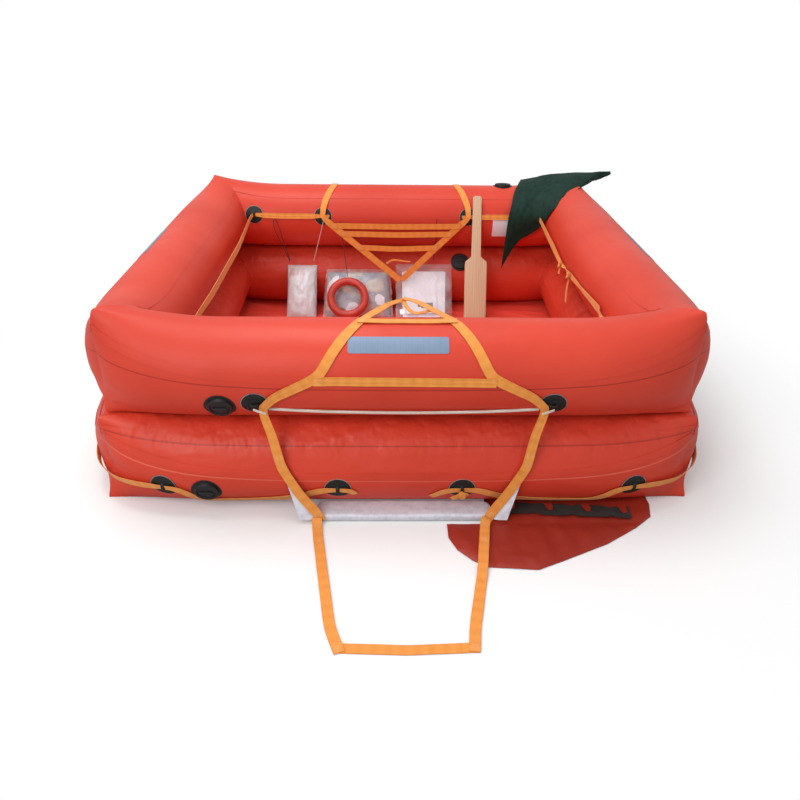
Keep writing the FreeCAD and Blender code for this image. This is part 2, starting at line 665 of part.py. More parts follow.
def cord(points, diameter):
    """A round cord: straight runs joined by arcs that touch both of them."""
    edges, start, tightest = [], points[0], None
    for before, point, after in zip(points, points[1:], points[2:]):
        a, b = (before - point), (after - point)
        run = min(a.Length, b.Length)
        turn = math.pi - a.getAngle(b)
        cutBack = 0.45 * run
        radius = cutBack / math.tan(turn / 2)
        tightest = radius if tightest is None else min(tightest, radius)
        into, away = point + a.normalize() * cutBack, point + b.normalize() * cutBack
        middle = point + (into + away - point * 2).normalize() * (radius / math.cos(turn / 2) - radius)
        edges += [Part.makeLine(start, into), Part.Arc(into, middle, away).toShape()]
        start = away
    edges.append(Part.makeLine(start, points[-1]))
    way = (points[1] - points[0]).normalize()
    level = way.cross(UP).normalize() if abs(way.z) < 0.9 else way.cross(VEC(0, 1, 0)).normalize()
    other = way.cross(level)
    loop = [points[0] + level * p.x + other * p.y for p in ringOf(6, diameter / 2, 0)]
    ring = Part.makePolygon(loop + [loop[0]])
    print("cord radius", None if tightest is None else round(tightest, 1), "diameter", diameter)
    print([tuple(round(c, 1) for c in p) for p in points])
    return Part.Wire(edges).makePipeShell([ring], True, False)


def leanAngle(ring, place, height, over):
    """The angle of a flat back that stands on a line on the floor and touches the tube behind it."""
    deep, high = ring["halfDepth"] - place, ring["height"] - height
    distance = math.hypot(deep, high)
    return math.atan2(high, deep) + math.asin((ring["radius"] + bondGap + over) / distance)


def leaning(shape, ring, x, place, over=0.0):
    """Sets a piece built in the XY plane, its length along Y and its back at Z 0, against the tube behind."""
    angle = leanAngle(ring, place, floorTop + bondGap, over)
    shape = shape.copy()
    shape.rotate(VEC(0, 0, 0), VEC(1, 0, 0), math.degrees(angle))
    shape.translate(VEC(x, place, floorTop + bondGap))
    return shape


def pillow(width, length, thickness, rim=0.3, taper=0.0):
    """A filled bag: flat seams at its edges, fuller in the middle. Its back lies flat at Z 0."""
    loops = []
    for inset, level in ((0.0, 0.0), (0.0, 3.0), (0.5, rim), (1.6, 0.85), (3.2, 1.0)):
        move = inset * thickness * 0.4
        z = level if level in (0.0, 3.0) else level * thickness
        w, top = width / 2 - move, length - move
        half = w * (1 - taper)
        loops.append([VEC(-w, move, z), VEC(0, move * 0.7, z), VEC(w, move, z), VEC(w * 1.01, length / 2, z),
                      VEC(half, top, z), VEC(0, top + move * 0.3, z), VEC(-half, top, z), VEC(-w * 1.01, length / 2, z)])
    return skinned(loops)


def paddle():
    half, grip = bladeWidth / 2, handleWidth / 2
    outline = [VEC(-half * 0.92, 0, 0), VEC(half * 0.92, 0, 0), VEC(half, 12, 0), VEC(half, bladeLength, 0)]
    outline += [VEC(grip, bladeLength + shoulderLength, 0), VEC(grip * 0.85, paddleLength - 5, 0)]
    outline += [VEC(grip * 0.6, paddleLength, 0)]
    outline += [VEC(-p.x, p.y, 0) for p in reversed(outline[1:])]
    board = Part.Face(Part.makePolygon(outline + [outline[0]])).extrude(VEC(0, 0, paddleThickness))
    for x in (-half * 0.55, half * 0.55):
        hole = skinned([ringOf(8, 2.5, z) for z in (-1, paddleThickness + 1)])
        board = board.cut(placed(hole, FreeCAD.Placement(VEC(x, 16, 0), FreeCAD.Rotation())))
    return board


def quoit():
    """A buoyant throwing ring of round section."""
    loops = []
    for turn in range(20):
        a = 2 * math.pi * turn / 20
        loop = []
        for p in ringOf(10, quoitSection, 0):
            out = quoitRadius - quoitSection + p.x
            loop.append(VEC(out * math.cos(a), out * math.sin(a), p.y))
        loops.append(loop)
    return skinned(loops, ring=True)


def ballastPocket(tube):
    near = -(lower["halfDepth"] + 50)
    right = ladderShift + stepLength / 2 + 4
    front = -stepFront - 6
    outline = [(right, near), (right, front), (right - 104, front), (158, -1092), (220, -1171), (393, -1195),
               (470, -1150), (600, -1100), (781, -975), (800, near - 45), (800, near)]
    loops = []
    for inset, z in ((0, 0), (0, 3), (12, pocketThickness)):
        loop = []
        for i, (x, y) in enumerate(outline):
            x0, y0 = outline[i - 1]
            x1, y1 = outline[(i + 1) % len(outline)]
            along = VEC(x1 - x0, y1 - y0, 0).normalize()
            loop.append(VEC(x - along.y * inset, y + along.x * inset, z))
        loops.append(loop)
    return skinned(loops).cut(tube)


def drogue():
    """The sea anchor's cloth, thrown over the corner of the upper tube."""
    loops = []
    for fold in drogueFolds:
        face = [VEC(*p) + VEC((hullWidth - 2000) / 2, (hullDepth - 1880) / 2, 0) for p in fold]
        loops.append(face + [p + VEC(0.0, 1.5, -3.0) for p in reversed(face)])
    return skinned(loops, cloth=True)


def gasSet():
    upperAt = VEC(0, upper["height"], 0)
    lowerAt = VEC(lowerSpread, lower["height"], 0)
    a, b = upperRadius + gasRadius + bondGap, lowerRadius + gasRadius + bondGap
    line = lowerAt - upperAt
    share = (a * a - b * b + line.Length ** 2) / (2 * line.Length)
    line.normalize()
    at = upperAt + line * share + VEC(-line.y, line.x, 0) * math.sqrt(a * a - share * share)
    half = gasLength / 2

    def lying(shape, out, height, along):
        shape.rotate(VEC(0, 0, 0), VEC(1, 0, 0), -90)
        shape.translate(VEC(upper["halfWidth"] + out, along, height))
        return shape

    profile = [(0.5, 0), (0.78, 6), (0.94, 18), (1, 34), (1, gasLength - 44), (0.92, gasLength - 24)]
    profile += [(0.66, gasLength - 8)]
    body = skinned([ringOf(20, gasRadius * share, z) for share, z in profile]
                   + [ringOf(20, neckRadius, gasLength), ringOf(20, neckRadius, gasLength + neckLength)])
    save("gas_cylinder", lying(body, at.x, at.y, -half))
    headAt = half + neckLength + bondGap
    head = skinned([ringOf(8, headRadius * share, z)
                    for share, z in ((0.88, 0), (1, 3), (1, headLength - 3), (0.88, headLength))])
    save("operating_head", lying(head, at.x, at.y, headAt))
    inlets, pipes = [], []
    for ring, degrees, name in ((upper, 6.0, "upper"), (lower, 10.0, "lower")):
        place = onCylinder(ring, RIGHT, headAt + headLength / 2, degrees)
        inlet = skinned([ringOf(16, inletRadius, -10), ringOf(16, inletRadius, inletHeight)])
        elbow = skinned([ringOf(10, 9, 3), ringOf(10, 9, inletHeight + 19)])
        inlets.append(placed(inlet.fuse(elbow).cut(tubeBlock(ring, inletRadius + 2)), place))
        top = place.multVec(VEC(0, 0, inletHeight + 11))
        start = VEC(upper["halfWidth"] + at.x, headAt + headLength / 2, at.y)
        way = top - start
        long = way.Length - headRadius - 9 - bondGap * 6
        way.normalize()
        turn = FreeCAD.Placement(start + way * headRadius * 0.5, FreeCAD.Rotation(UP, way))
        pipe = placed(skinned([ringOf(8, pipeRadius, z) for z in (0, long + headRadius * 0.5)]), turn)
        core = skinned([ringOf(8, headRadius + bondGap, z) for z in (-1, headLength + 1)])
        pipes.append(pipe.cut(lying(core, at.x, at.y, headAt)))
    save("inlet_valves", *inlets)
    save("inflation_pipes", *pipes)
    bands = []
    for along in (-half * 0.55, half * 0.55):
        stops = [stop(upper, RIGHT, along, d) for d in (38, 22)]
        for d in (20, 10, 0, -11):
            r = gasRadius + 1.0
            out = upper["halfWidth"] + at.x + r * math.cos(math.radians(d))
            height = at.y + r * math.sin(math.radians(d))
            stops.append(loose(out, along, height, tubeNormal(RIGHT, d)))
        bands.append(webbing(stops + [stop(lower, RIGHT, along, d) for d in (-12, -19)]))
    save("cylinder_bands", *bands)


upperTube = buoyancyTube(upper)
save("upper_tube", upperTube)
lowerTube = buoyancyTube(lower)
save("lower_tube", lowerTube)
save("floor_panel", floorPanel())
makeFilms()
makeValves()
makePatches()

save("outer_lifeline_left", mirrored(outerLifeline()))
save("outer_lifeline_right", outerLifeline())
save("inner_lifeline_left", mirrored(innerLifeline([(660, 200, 3, webWidth), (658, -300, 2, webWidth)])))
save("inner_lifeline_right", innerLifeline([(692, 340, 42, webWidth), (700, 185, 70, 16), (700, 30, 60, 26),
                                            (698, -126, 46, 16), (688, -420, 12, 28)]))
save("front_ladder_left_strap", frontStrap(-1))
save("front_ladder_right_strap", frontStrap(1))
save("front_ladder_rungs", rung(upper, FRONT, 252, rungAngle, ladderShift, 4.2),
     rung(upper, FRONT, 140, 88, ladderShift + 8, 3.9))
save("boarding_step", boardingStep())
save("boarding_step_loop", stepLoop())
save("boarding_step_left_stay", gusset(-1))
save("boarding_step_right_stay", gusset(1))
save("rear_ladder_left_strap", rearStrap(veeShift))
save("rear_ladder_right_strap", mirrored(rearStrap(-veeShift)))
save("rear_ladder_rungs", *rearRungs())
save("rear_foot_loop", footLoop())
gasSet()
save("paddle", leaning(paddle(), upper, 384, equipmentPlace - 35, 7.0))
save("equipment_pack", leaning(pillow(packWidth, packLength + 20, packThickness, 0.4), lower, -457, equipmentPlace))
save("clear_bag", leaning(pillow(bagWidth, bagLength, bagThickness * 0.72, 0.4, 0.08), lower, -182, equipmentPlace))
save("document_bag", leaning(pillow(pouchWidth, pouchLength, pouchThickness, 0.5, 0.02), lower, 141, equipmentPlace))
ring = quoit()
bagDepth = bagThickness * 0.72
ring.translate(VEC(0, quoitPlace, bagDepth + quoitSection * math.cos(math.pi / 10) + bondGap))
save("rescue_quoit", leaning(ring, lower, -227, equipmentPlace))
save("ballast_pocket", ballastPocket(lowerTube))
bandTop = pocketThickness + bondGap
save("ballast_pocket_band", strap([VEC(372, -918, bandTop), VEC(690, -985, bandTop)], [UP, UP], [26, 26]))
save("drogue", drogue())
lashAngle = math.radians(32)
deep = upper["halfDepth"] + (upperRadius + lashingDiameter) * math.cos(lashAngle)
ends = [VEC(side * 372 + ladderShift, -deep, upper["height"] - 72) for side in (-1, 1)]
save("ladder_lashing", cord(sagging(ends[0], ends[1], 10, 9), lashingDiameter))
quoitLine = [VEC(-262, 631.7, 455), VEC(-258, 629.5, 415), VEC(-253, 625.4, 372), VEC(-246, 606, 322),
             VEC(-238, 580, 268), VEC(-229, 550, 209)]
save("quoit_cord", cord(quoitLine, 3.0))
save("pack_cord", cord(sagging(VEC(-338, 629.3, 466), VEC(-398, 641, 255), 3, 5), 3.0))
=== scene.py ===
import bpy
import math
from mathutils import Matrix, Vector, noise


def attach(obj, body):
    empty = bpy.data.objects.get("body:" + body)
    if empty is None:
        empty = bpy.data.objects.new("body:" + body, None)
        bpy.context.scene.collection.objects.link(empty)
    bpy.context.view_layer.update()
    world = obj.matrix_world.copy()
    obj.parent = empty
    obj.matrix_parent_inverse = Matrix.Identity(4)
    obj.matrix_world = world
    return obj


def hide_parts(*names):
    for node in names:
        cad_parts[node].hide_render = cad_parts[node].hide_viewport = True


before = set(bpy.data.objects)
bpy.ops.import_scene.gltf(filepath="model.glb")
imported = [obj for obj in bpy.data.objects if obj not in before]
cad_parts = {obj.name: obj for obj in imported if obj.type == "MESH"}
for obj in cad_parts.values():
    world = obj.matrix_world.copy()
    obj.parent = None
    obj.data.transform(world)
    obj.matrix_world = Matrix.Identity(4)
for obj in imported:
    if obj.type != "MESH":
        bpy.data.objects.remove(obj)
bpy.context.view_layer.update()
scene = bpy.context.scene
scene.view_settings.view_transform = "Standard"

# camera, fitted to the photograph
shot = {"place": (-0.0404, -2.6445, 1.4168), "pitch": 0.5352, "yaw": 0.0219, "roll": 0.013, "lens": 31.5}


def addCamera():
    pitch, yaw, roll = shot["pitch"], shot["yaw"], shot["roll"]
    ahead = Vector((math.sin(yaw) * math.cos(pitch), math.cos(yaw) * math.cos(pitch), -math.sin(pitch)))
    right = ahead.cross(Vector((0, 0, 1))).normalized()
    up = right.cross(ahead)
    right, up = (right * math.cos(roll) + up * math.sin(roll)), (up * math.cos(roll) - right * math.sin(roll))
    turn = Matrix((right, up, -ahead)).transposed().to_4x4()
    bpy.ops.object.camera_add()
    camera = bpy.context.object
    camera.matrix_world = Matrix.Translation(shot["place"]) @ turn
    camera.data.lens = shot["lens"]
    camera.data.sensor_width = 36
    camera.data.clip_end = 60
    scene.camera = camera


addCamera()
print("camera set")


# shader maths as plain expressions
class Value:
    def __init__(self, paint, socket):
        self.paint, self.socket = paint, socket

    def maths(self, operation, *others):
        node = self.paint.tree.nodes.new("ShaderNodeMath")
        node.operation = operation
        for i, item in enumerate((self,) + others):
            self.paint.join(item, node.inputs[i])
        return Value(self.paint, node.outputs[0])

    def __add__(self, other): return self.maths("ADD", other)
    def __radd__(self, other): return self.maths("ADD", other)
    def __sub__(self, other): return self.maths("SUBTRACT", other)
    def __mul__(self, other): return self.maths("MULTIPLY", other)
    def __rmul__(self, other): return self.maths("MULTIPLY", other)
    def __truediv__(self, other): return self.maths("DIVIDE", other)
    def __pow__(self, other): return self.maths("POWER", other)

    def __rsub__(self, other):
        return (self * -1) + other

    def above(self, level): return self.maths("GREATER_THAN", level)
    def wave(self): return self.maths("SINE")
    def size(self): return self.maths("ABSOLUTE")
    def larger(self, other): return self.maths("MAXIMUM", other)
    def smaller(self, other): return self.maths("MINIMUM", other)
    def turn(self, other): return self.maths("ARCTAN2", other)

    def ramp(self, low, high, start=0.0, end=1.0):
        node = self.paint.tree.nodes.new("ShaderNodeMapRange")
        node.interpolation_type = "SMOOTHSTEP"
        inputs = {"Value": self, "From Min": low, "From Max": high, "To Min": start, "To Max": end}
        for name, item in inputs.items():
            self.paint.join(item, node.inputs[name])
        return Value(self.paint, node.outputs[0])


class Paint:
    def __init__(self, name, **plain):
        self.material = bpy.data.materials.new(name)
        self.material.use_nodes = True
        self.tree = self.material.node_tree
        self.shader = self.tree.nodes["Principled BSDF"]
        for key, value in plain.items():
            self.shader.inputs[key.replace("_", " ")].default_value = value

    def join(self, item, socket):
        if isinstance(item, Value):
            self.tree.links.new(item.socket, socket)
        elif item is not None:
            if socket.type == "RGBA" and len(item) == 3:
                item = (*item, 1)
            socket.default_value = item

    def node(self, kind, settings=None, output=0, **sockets):
        made = self.tree.nodes.new(kind)
        for key, value in (settings or {}).items():
            setattr(made, key, value)
        for key, value in sockets.items():
            self.join(value, made.inputs[key.replace("_", " ")])
        return Value(self, made.outputs[output])

    def spot(self):
        return self.node("ShaderNodeTexCoord", output="Object")

    def unwrapped(self):
        return self.node("ShaderNodeUVMap")

    def split(self, vector):
        made = self.tree.nodes.new("ShaderNodeSeparateXYZ")
        self.join(vector, made.inputs[0])
        return [Value(self, made.outputs[i]) for i in range(3)]

    def grain(self, vector, scale, detail=4.0, rough=0.5):
        return self.node("ShaderNodeTexNoise", Vector=vector, Scale=scale, Detail=detail, Roughness=rough)

    def stretched(self, vector, scale):
        return self.node("ShaderNodeMapping", Vector=vector, Scale=scale)

    def mixed(self, factor, one, other):
        made = self.tree.nodes.new("ShaderNodeMix")
        made.data_type = "RGBA"
        for index, item in ((0, factor), (6, one), (7, other)):
            self.join(item, made.inputs[index])
        return Value(self, made.outputs[2])

    def relief(self, height, strength, distance=0.001, under=None):
        return self.node("ShaderNodeBump", Height=height, Strength=strength, Distance=distance, Normal=under)

    def set(self, **sockets):
        for key, value in sockets.items():
            self.join(value, self.shader.inputs[key.replace("_", " ")])
        return self.material


def paintCoated(name, colour, dark, paintedSeamLight=()):
    paint = Paint(name, Roughness=0.5, Specular_IOR_Level=0.3)
    spot = paint.spot()
    broad = paint.grain(spot, 2.3, 3)
    fine = paint.grain(spot, 38, 5, 0.6)
    tone = broad.ramp(0.35, 0.7) * 0.55 + fine * 0.25
    colourMix = paint.mixed(tone, colour, dark)
    weave = paint.node("ShaderNodeTexWave", {"wave_type": "BANDS", "bands_direction": "DIAGONAL"},
                       Vector=spot, Scale=420.0, Distortion=0.6)
    dents = paint.grain(spot, 7, 3, 0.55)
    normal = paint.relief(dents, 0.35, 0.006)
    x, y, z = paint.split(spot)
    joint = (z - 0.27).size().ramp(0.015, 0.085, 1.0, 0.0)
    puckers = paint.grain(paint.stretched(spot, (17, 17, 2.2)), 1.0, 2, 0.45)
    low = (z - 0.19).size().ramp(0.02, 0.11, 1.0, 0.0)
    drawn = paint.grain(paint.stretched(spot, (4.0, 4.0, 13)), 1.0, 2, 0.45)
    gathers = puckers.ramp(0.35, 0.65) * joint * 0.9 + drawn.ramp(0.38, 0.62) * low * 0.55
    normal = paint.relief(gathers, 0.5, 0.009, normal)
    normal = paint.relief(fine + weave * 0.2, 0.10, 0.0008, normal)
    near = x.size().smaller(y.size() / 0.94)   # 0 in the middle of a side, 1 at its corners
    outside = x.size().above(0.875).larger(y.size().above(0.815))
    # painted shadow lines (dark) and a painted highlight line (pale) along the welds' lower edges, on the
    # outer faces only
    for height, radius, start, reach, line in paintedSeamLight:
        angle = near * near * near * reach + start
        level = (angle - angle * angle * angle / 6) * radius + height
        colourMix = paint.mixed((z - level).size().ramp(0.0008, 0.0030, 0.6, 0.0) * outside, colourMix, line)
    return paint.set(Base_Color=colourMix, Roughness=broad.ramp(0.3, 0.7, 0.36, 0.5), Normal=normal)


def paintWebbing(name, colour, dark):
    paint = Paint(name, Roughness=0.68, Sheen_Weight=0.15)
    across, along = paint.split(paint.unwrapped())[:2]
    ribs = ((across * 62.8 + (along * 88.0).wave() * 0.9).wave() * 0.5 + 0.5)
    picks = ((along * 175.0).wave() * 0.5 + 0.5)
    edge = across.size().ramp(0.40, 0.5)
    worn = paint.grain(paint.spot(), 60, 5)
    # painted shade: darker in the weave's grooves and along the ribbon's edges; the noise adds worn spots
    grooveShadeAndWear = (1 - ribs) * 0.35 + (1 - picks) * 0.22 + edge * 0.3 + worn.ramp(0.55, 0.75) * 0.25
    return paint.set(Base_Color=paint.mixed(grooveShadeAndWear, colour, dark),
                     Normal=paint.relief(ribs * 0.7 + picks * 0.5, 0.55, 0.0007))


def paintMoulded(name, colour, light, rough=0.5):
    paint = Paint(name, Roughness=rough)
    spot = paint.spot()
    speck = paint.grain(spot, 260, 3)
    dust = paint.grain(spot, 22, 5)
    return paint.set(Base_Color=paint.mixed(dust.ramp(0.5, 0.8) * 0.5, colour, light),
                     Roughness=dust.ramp(0.3, 0.8, rough - 0.08, rough + 0.15),
                     Normal=paint.relief(speck, 0.25, 0.0004))


def paintTape(name):
    paint = Paint(name, Roughness=0.42, Metallic=0.1)
    spot = paint.spot()
    cells = paint.node("ShaderNodeTexVoronoi", {"feature": "DISTANCE_TO_EDGE"}, Vector=spot, Scale=420.0)
    broad = paint.grain(spot, 14, 3)
    across, along = paint.split(paint.unwrapped())[:2]
    lines = (along * 392.0).wave().above(0.93).larger((across * 44.0).wave().above(0.93))
    colour = paint.mixed(broad, (0.17, 0.24, 0.36), (0.23, 0.31, 0.43))
    colour = paint.mixed(lines * 0.35, colour, (0.16, 0.22, 0.36))
    return paint.set(Base_Color=colour, Normal=paint.relief(cells.ramp(0.0, 0.12), 0.3, 0.0003))


def paintPlain(name, colour, other, scale=30.0, rough=0.5, bump=0.2, depth=0.001, **more):
    paint = Paint(name, Roughness=rough, **more)
    spot = paint.spot()
    cloud = paint.grain(spot, scale, 4)
    return paint.set(Base_Color=paint.mixed(cloud.ramp(0.35, 0.7), colour, other),
                     Normal=paint.relief(cloud, bump, depth))


def paintWood(name):
    paint = Paint(name, Roughness=0.55)
    along = paint.stretched(paint.unwrapped(), (60, 3.2, 1))
    rings = paint.node("ShaderNodeTexWave", {"wave_type": "BANDS", "bands_direction": "X"},
                       Vector=along, Scale=0.6, Distortion=5.0, Detail=3.0, Detail_Scale=1.2)
    fibre = paint.grain(paint.stretched(paint.unwrapped(), (900, 18, 1)), 1.0, 4)
    tone = rings * 0.45 + fibre * 0.45
    return paint.set(Base_Color=paint.mixed(tone, (0.74, 0.55, 0.36), (0.52, 0.34, 0.19)),
                     Normal=paint.relief(fibre, 0.2, 0.0004))


def paintCord(name, colour, dark, turns=900.0):
    paint = Paint(name, Roughness=0.7)
    x, y, z = paint.split(paint.spot())
    plait = ((x + z) * turns).wave() * ((x - z) * turns + y * turns).wave()
    # painted shade: the braid's grooves, low in the bump, are coloured darker
    return paint.set(Base_Color=paint.mixed(plait.ramp(-0.4, 0.6), dark, colour),
                     Normal=paint.relief(plait, 0.5, 0.0006))


def paintFilm(name, colour, clearness, wrinkle=26.0):
    paint = Paint(name, Roughness=0.18, Coat_Weight=0.4, Coat_Roughness=0.1)
    spot = paint.spot()
    folds = paint.node("ShaderNodeTexVoronoi", {"feature": "F1"}, Vector=spot, Scale=wrinkle)
    waves = paint.grain(spot, wrinkle * 0.7, 5, 0.6)
    crease = (folds * waves).ramp(0.05, 0.5)
    return paint.set(Base_Color=colour, Alpha=waves.ramp(0.3, 0.75, clearness, clearness + 0.25),
                     Normal=paint.relief(crease + waves, 0.7, 0.004))


# painted shade and light along the tubes' seams, at the welds' lower edges (dark ones painted shadow, the
# pale one a painted highlight): height and radius of the tube, angle in mid side, rise to the corner, colour
seamShadowHighlightLines = ((0.425, 0.146, 0.08, 0.63, (0.24, 0.017, 0.010)),
             (0.141, 0.151, -0.04, 0.60, (0.85, 0.20, 0.13)),
             (0.141, 0.151, 0.70, 0.14, (0.32, 0.024, 0.014)))
coatedRed = paintCoated("coatedRed", (0.70, 0.060, 0.030), (0.57, 0.042, 0.021), seamShadowHighlightLines)
floorRed = paintCoated("floorRed", (0.86, 0.085, 0.055), (0.68, 0.055, 0.034))
pocketRed = paintCoated("pocketRed", (0.36, 0.030, 0.016), (0.26, 0.019, 0.010))
webOrange = paintWebbing("webOrange", (0.88, 0.34, 0.055), (0.66, 0.19, 0.02))
webBlack = paintWebbing("webBlack", (0.012, 0.012, 0.012), (0.005, 0.005, 0.005))
patchBlack = paintMoulded("patchBlack", (0.004, 0.005, 0.004), (0.012, 0.013, 0.011), 0.6)
rimPale = paintPlain("rimPale", (0.40, 0.40, 0.39), (0.22, 0.22, 0.21), 60.0, 0.6, 0.1)
valveBlack = paintMoulded("valveBlack", (0.007, 0.008, 0.008), (0.025, 0.026, 0.026), 0.5)
tapeSilver = paintTape("tapeSilver")
labelWhite = paintPlain("labelWhite", (0.80, 0.82, 0.86), (0.74, 0.76, 0.82), 20.0, 0.35, 0.1)
stepCloth = paintPlain("stepCloth", (0.74, 0.74, 0.80), (0.62, 0.63, 0.71), 60.0, 0.6, 0.3, 0.001)
cordWhite = paintCord("cordWhite", (0.82, 0.78, 0.70), (0.55, 0.47, 0.38))
cordBlack = paintCord("cordBlack", (0.03, 0.03, 0.03), (0.01, 0.01, 0.01))
packWhite = paintFilm("packWhite", (0.90, 0.90, 0.90), 0.5)
filmClear = paintFilm("filmClear", (0.80, 0.78, 0.78), 0.07)
paperWhite = paintPlain("paperWhite", (0.86, 0.88, 0.93), (0.78, 0.81, 0.89), 9.0, 0.6, 0.1)
paperDark = paintPlain("paperDark", (0.08, 0.09, 0.12), (0.14, 0.15, 0.18), 30.0, 0.5, 0.1)
goodsBeige = paintPlain("goodsBeige", (0.62, 0.55, 0.46), (0.46, 0.42, 0.38), 16.0, 0.5, 0.5, 0.004)
goodsGrey = paintPlain("goodsGrey", (0.42, 0.43, 0.48), (0.25, 0.27, 0.33), 22.0, 0.4, 0.5, 0.004)
woodPale = paintWood("woodPale")
quoitRed = paintPlain("quoitRed", (0.56, 0.045, 0.025), (0.44, 0.03, 0.018), 30.0, 0.42, 0.2, 0.002)
drogueGreen = paintPlain("drogueGreen", (0.003, 0.030, 0.019), (0.002, 0.018, 0.012), 45.0, 0.66, 0.35,
                         0.0015, Specular_IOR_Level=0.25)
cylinderGrey = paintPlain("cylinderGrey", (0.52, 0.53, 0.54), (0.46, 0.47, 0.48), 12.0, 0.38, 0.08)
headBrass = paintPlain("headBrass", (0.62, 0.44, 0.18), (0.52, 0.36, 0.14), 40.0, 0.34, 0.1, 0.0005,
                       Metallic=1.0)
pipeSteel = paintPlain("pipeSteel", (0.50, 0.50, 0.51), (0.42, 0.42, 0.44), 60.0, 0.3, 0.1, 0.0005,
                       Metallic=1.0)
threadPale = paintPlain("threadPale", (0.80, 0.60, 0.38), (0.66, 0.45, 0.25), 300.0, 0.7, 0.2)
print("materials made")

mm = 0.001
skyward = Vector((0, 0, 1))
hull = {"width": 2000.0, "depth": 1880.0, "upperRadius": 146.0, "lowerRadius": 151.0, "spread": 18.0,
        "gap": 0.3, "sink": 10.0, "corner": 330.0, "pull": 120.0, "peak": 42.0, "lean": 10.0, "joint": 26.0,
        "foot": 45.0, "facets": 32}
front, right, back, left = 0, 1, 2, 3
facet = math.pi / hull["facets"]
rise = ((hull["upperRadius"] + hull["lowerRadius"]) * math.cos(facet) + hull["gap"]
        - hull["spread"] * math.sin(facet)) / math.cos(facet)
lowHeight = hull["lowerRadius"] - hull["sink"]
upper = {"radius": hull["upperRadius"], "halfX": hull["width"] / 2 - hull["upperRadius"],
         "halfY": hull["depth"] / 2 - hull["upperRadius"], "height": lowHeight + rise,
         "top": hull["upperRadius"] + hull["peak"], "bottom": hull["upperRadius"] - 1,
         "topLean": hull["lean"], "footLean": hull["joint"]}
lower = {"radius": hull["lowerRadius"], "halfX": upper["halfX"] + hull["spread"],
         "halfY": upper["halfY"] + hull["spread"], "height": lowHeight,
         "top": hull["lowerRadius"] - 1, "bottom": hull["lowerRadius"],
         "topLean": hull["joint"], "footLean": hull["foot"]}


def spin(side):
    return Matrix.Rotation(math.radians(90 * side), 3, "Z")


def runOf(ring, side):
    return ring["halfX"] if side in (front, back) else ring["halfY"]


def halfOf(ring, side):
    return ring["halfY"] if side in (front, back) else ring["halfX"]


def section(ring, weight, angle, lift=0.0):
    c, s = math.cos(angle), math.sin(angle)
    r = ring["radius"] + lift
    out = (r - hull["pull"]) * c ** 0.75 if c > 0 else r * c
    out += (ring["topLean"] if s > 0 else ring["footLean"]) * s * s
    up = ((ring["top"] if s > 0 else ring["bottom"]) + lift) * s
    return r * c + weight * (out - r * c), r * s + weight * (up - r * s)


def onTube(ring, side, along, degrees, lift=0.0):  # millimetres in, millimetres out
    run, half, angle = runOf(ring, side), halfOf(ring, side), math.radians(degrees)
    distance = run - abs(along)
    for _ in range(6):
        share = min(max(distance / hull["corner"], 0.0), 1.0)
        out, up = section(ring, (1 - share) ** 2, angle, lift)
        distance = run + out * (1 - share) - abs(along)
    return spin(side) @ Vector((along, -(half + out), ring["height"] + up))


def outward(side, degrees):
    angle = math.radians(degrees)
    return spin(side) @ Vector((0, -math.cos(angle), math.sin(angle)))


def seat(ring, side, along, degrees, reach=41.0):  # a frame square to the tube's wall, in metres
    ahead = onTube(ring, side, along + reach, degrees) - onTube(ring, side, along - reach, degrees)
    ahead.normalize()
    above = onTube(ring, side, along, degrees + 10) - onTube(ring, side, along, degrees - 10)
    normal = ahead.cross(above).normalized()
    frameOf = Matrix((ahead, normal.cross(ahead), normal)).transposed().to_4x4()
    return Matrix.Translation(onTube(ring, side, along, degrees) * mm) @ frameOf


def editAll():
    bpy.ops.object.mode_set(mode="EDIT")
    bpy.ops.mesh.select_all(action="SELECT")


def leaveEdit():
    bpy.ops.object.mode_set(mode="OBJECT")


def pickNone():
    if bpy.context.object and bpy.context.object.mode != "OBJECT":
        leaveEdit()
    bpy.ops.object.select_all(action="DESELECT")


def pick(*pieces):
    pickNone()
    for piece in pieces:
        piece.select_set(True)
    bpy.context.view_layer.objects.active = pieces[0]


def applyAll(piece):
    pick(piece)
    for modifier in list(piece.modifiers):
        bpy.ops.object.modifier_apply(modifier=modifier.name)


def settle(piece, name, material, nodes=(), body="raft", smooth=60.0):
    # places go into the mesh, and the piece gets its name, finish and body
    applyAll(piece)
    bpy.ops.object.transform_apply(location=True, rotation=True, scale=True)
    if smooth:
        bpy.ops.object.shade_smooth_by_angle(angle=math.radians(smooth))
    piece.name = name
    piece.data.name = name
    if material:
        piece.data.materials.clear()
        piece.data.materials.append(material)
    if nodes:
        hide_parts(*nodes)
    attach(piece, body)
    return piece


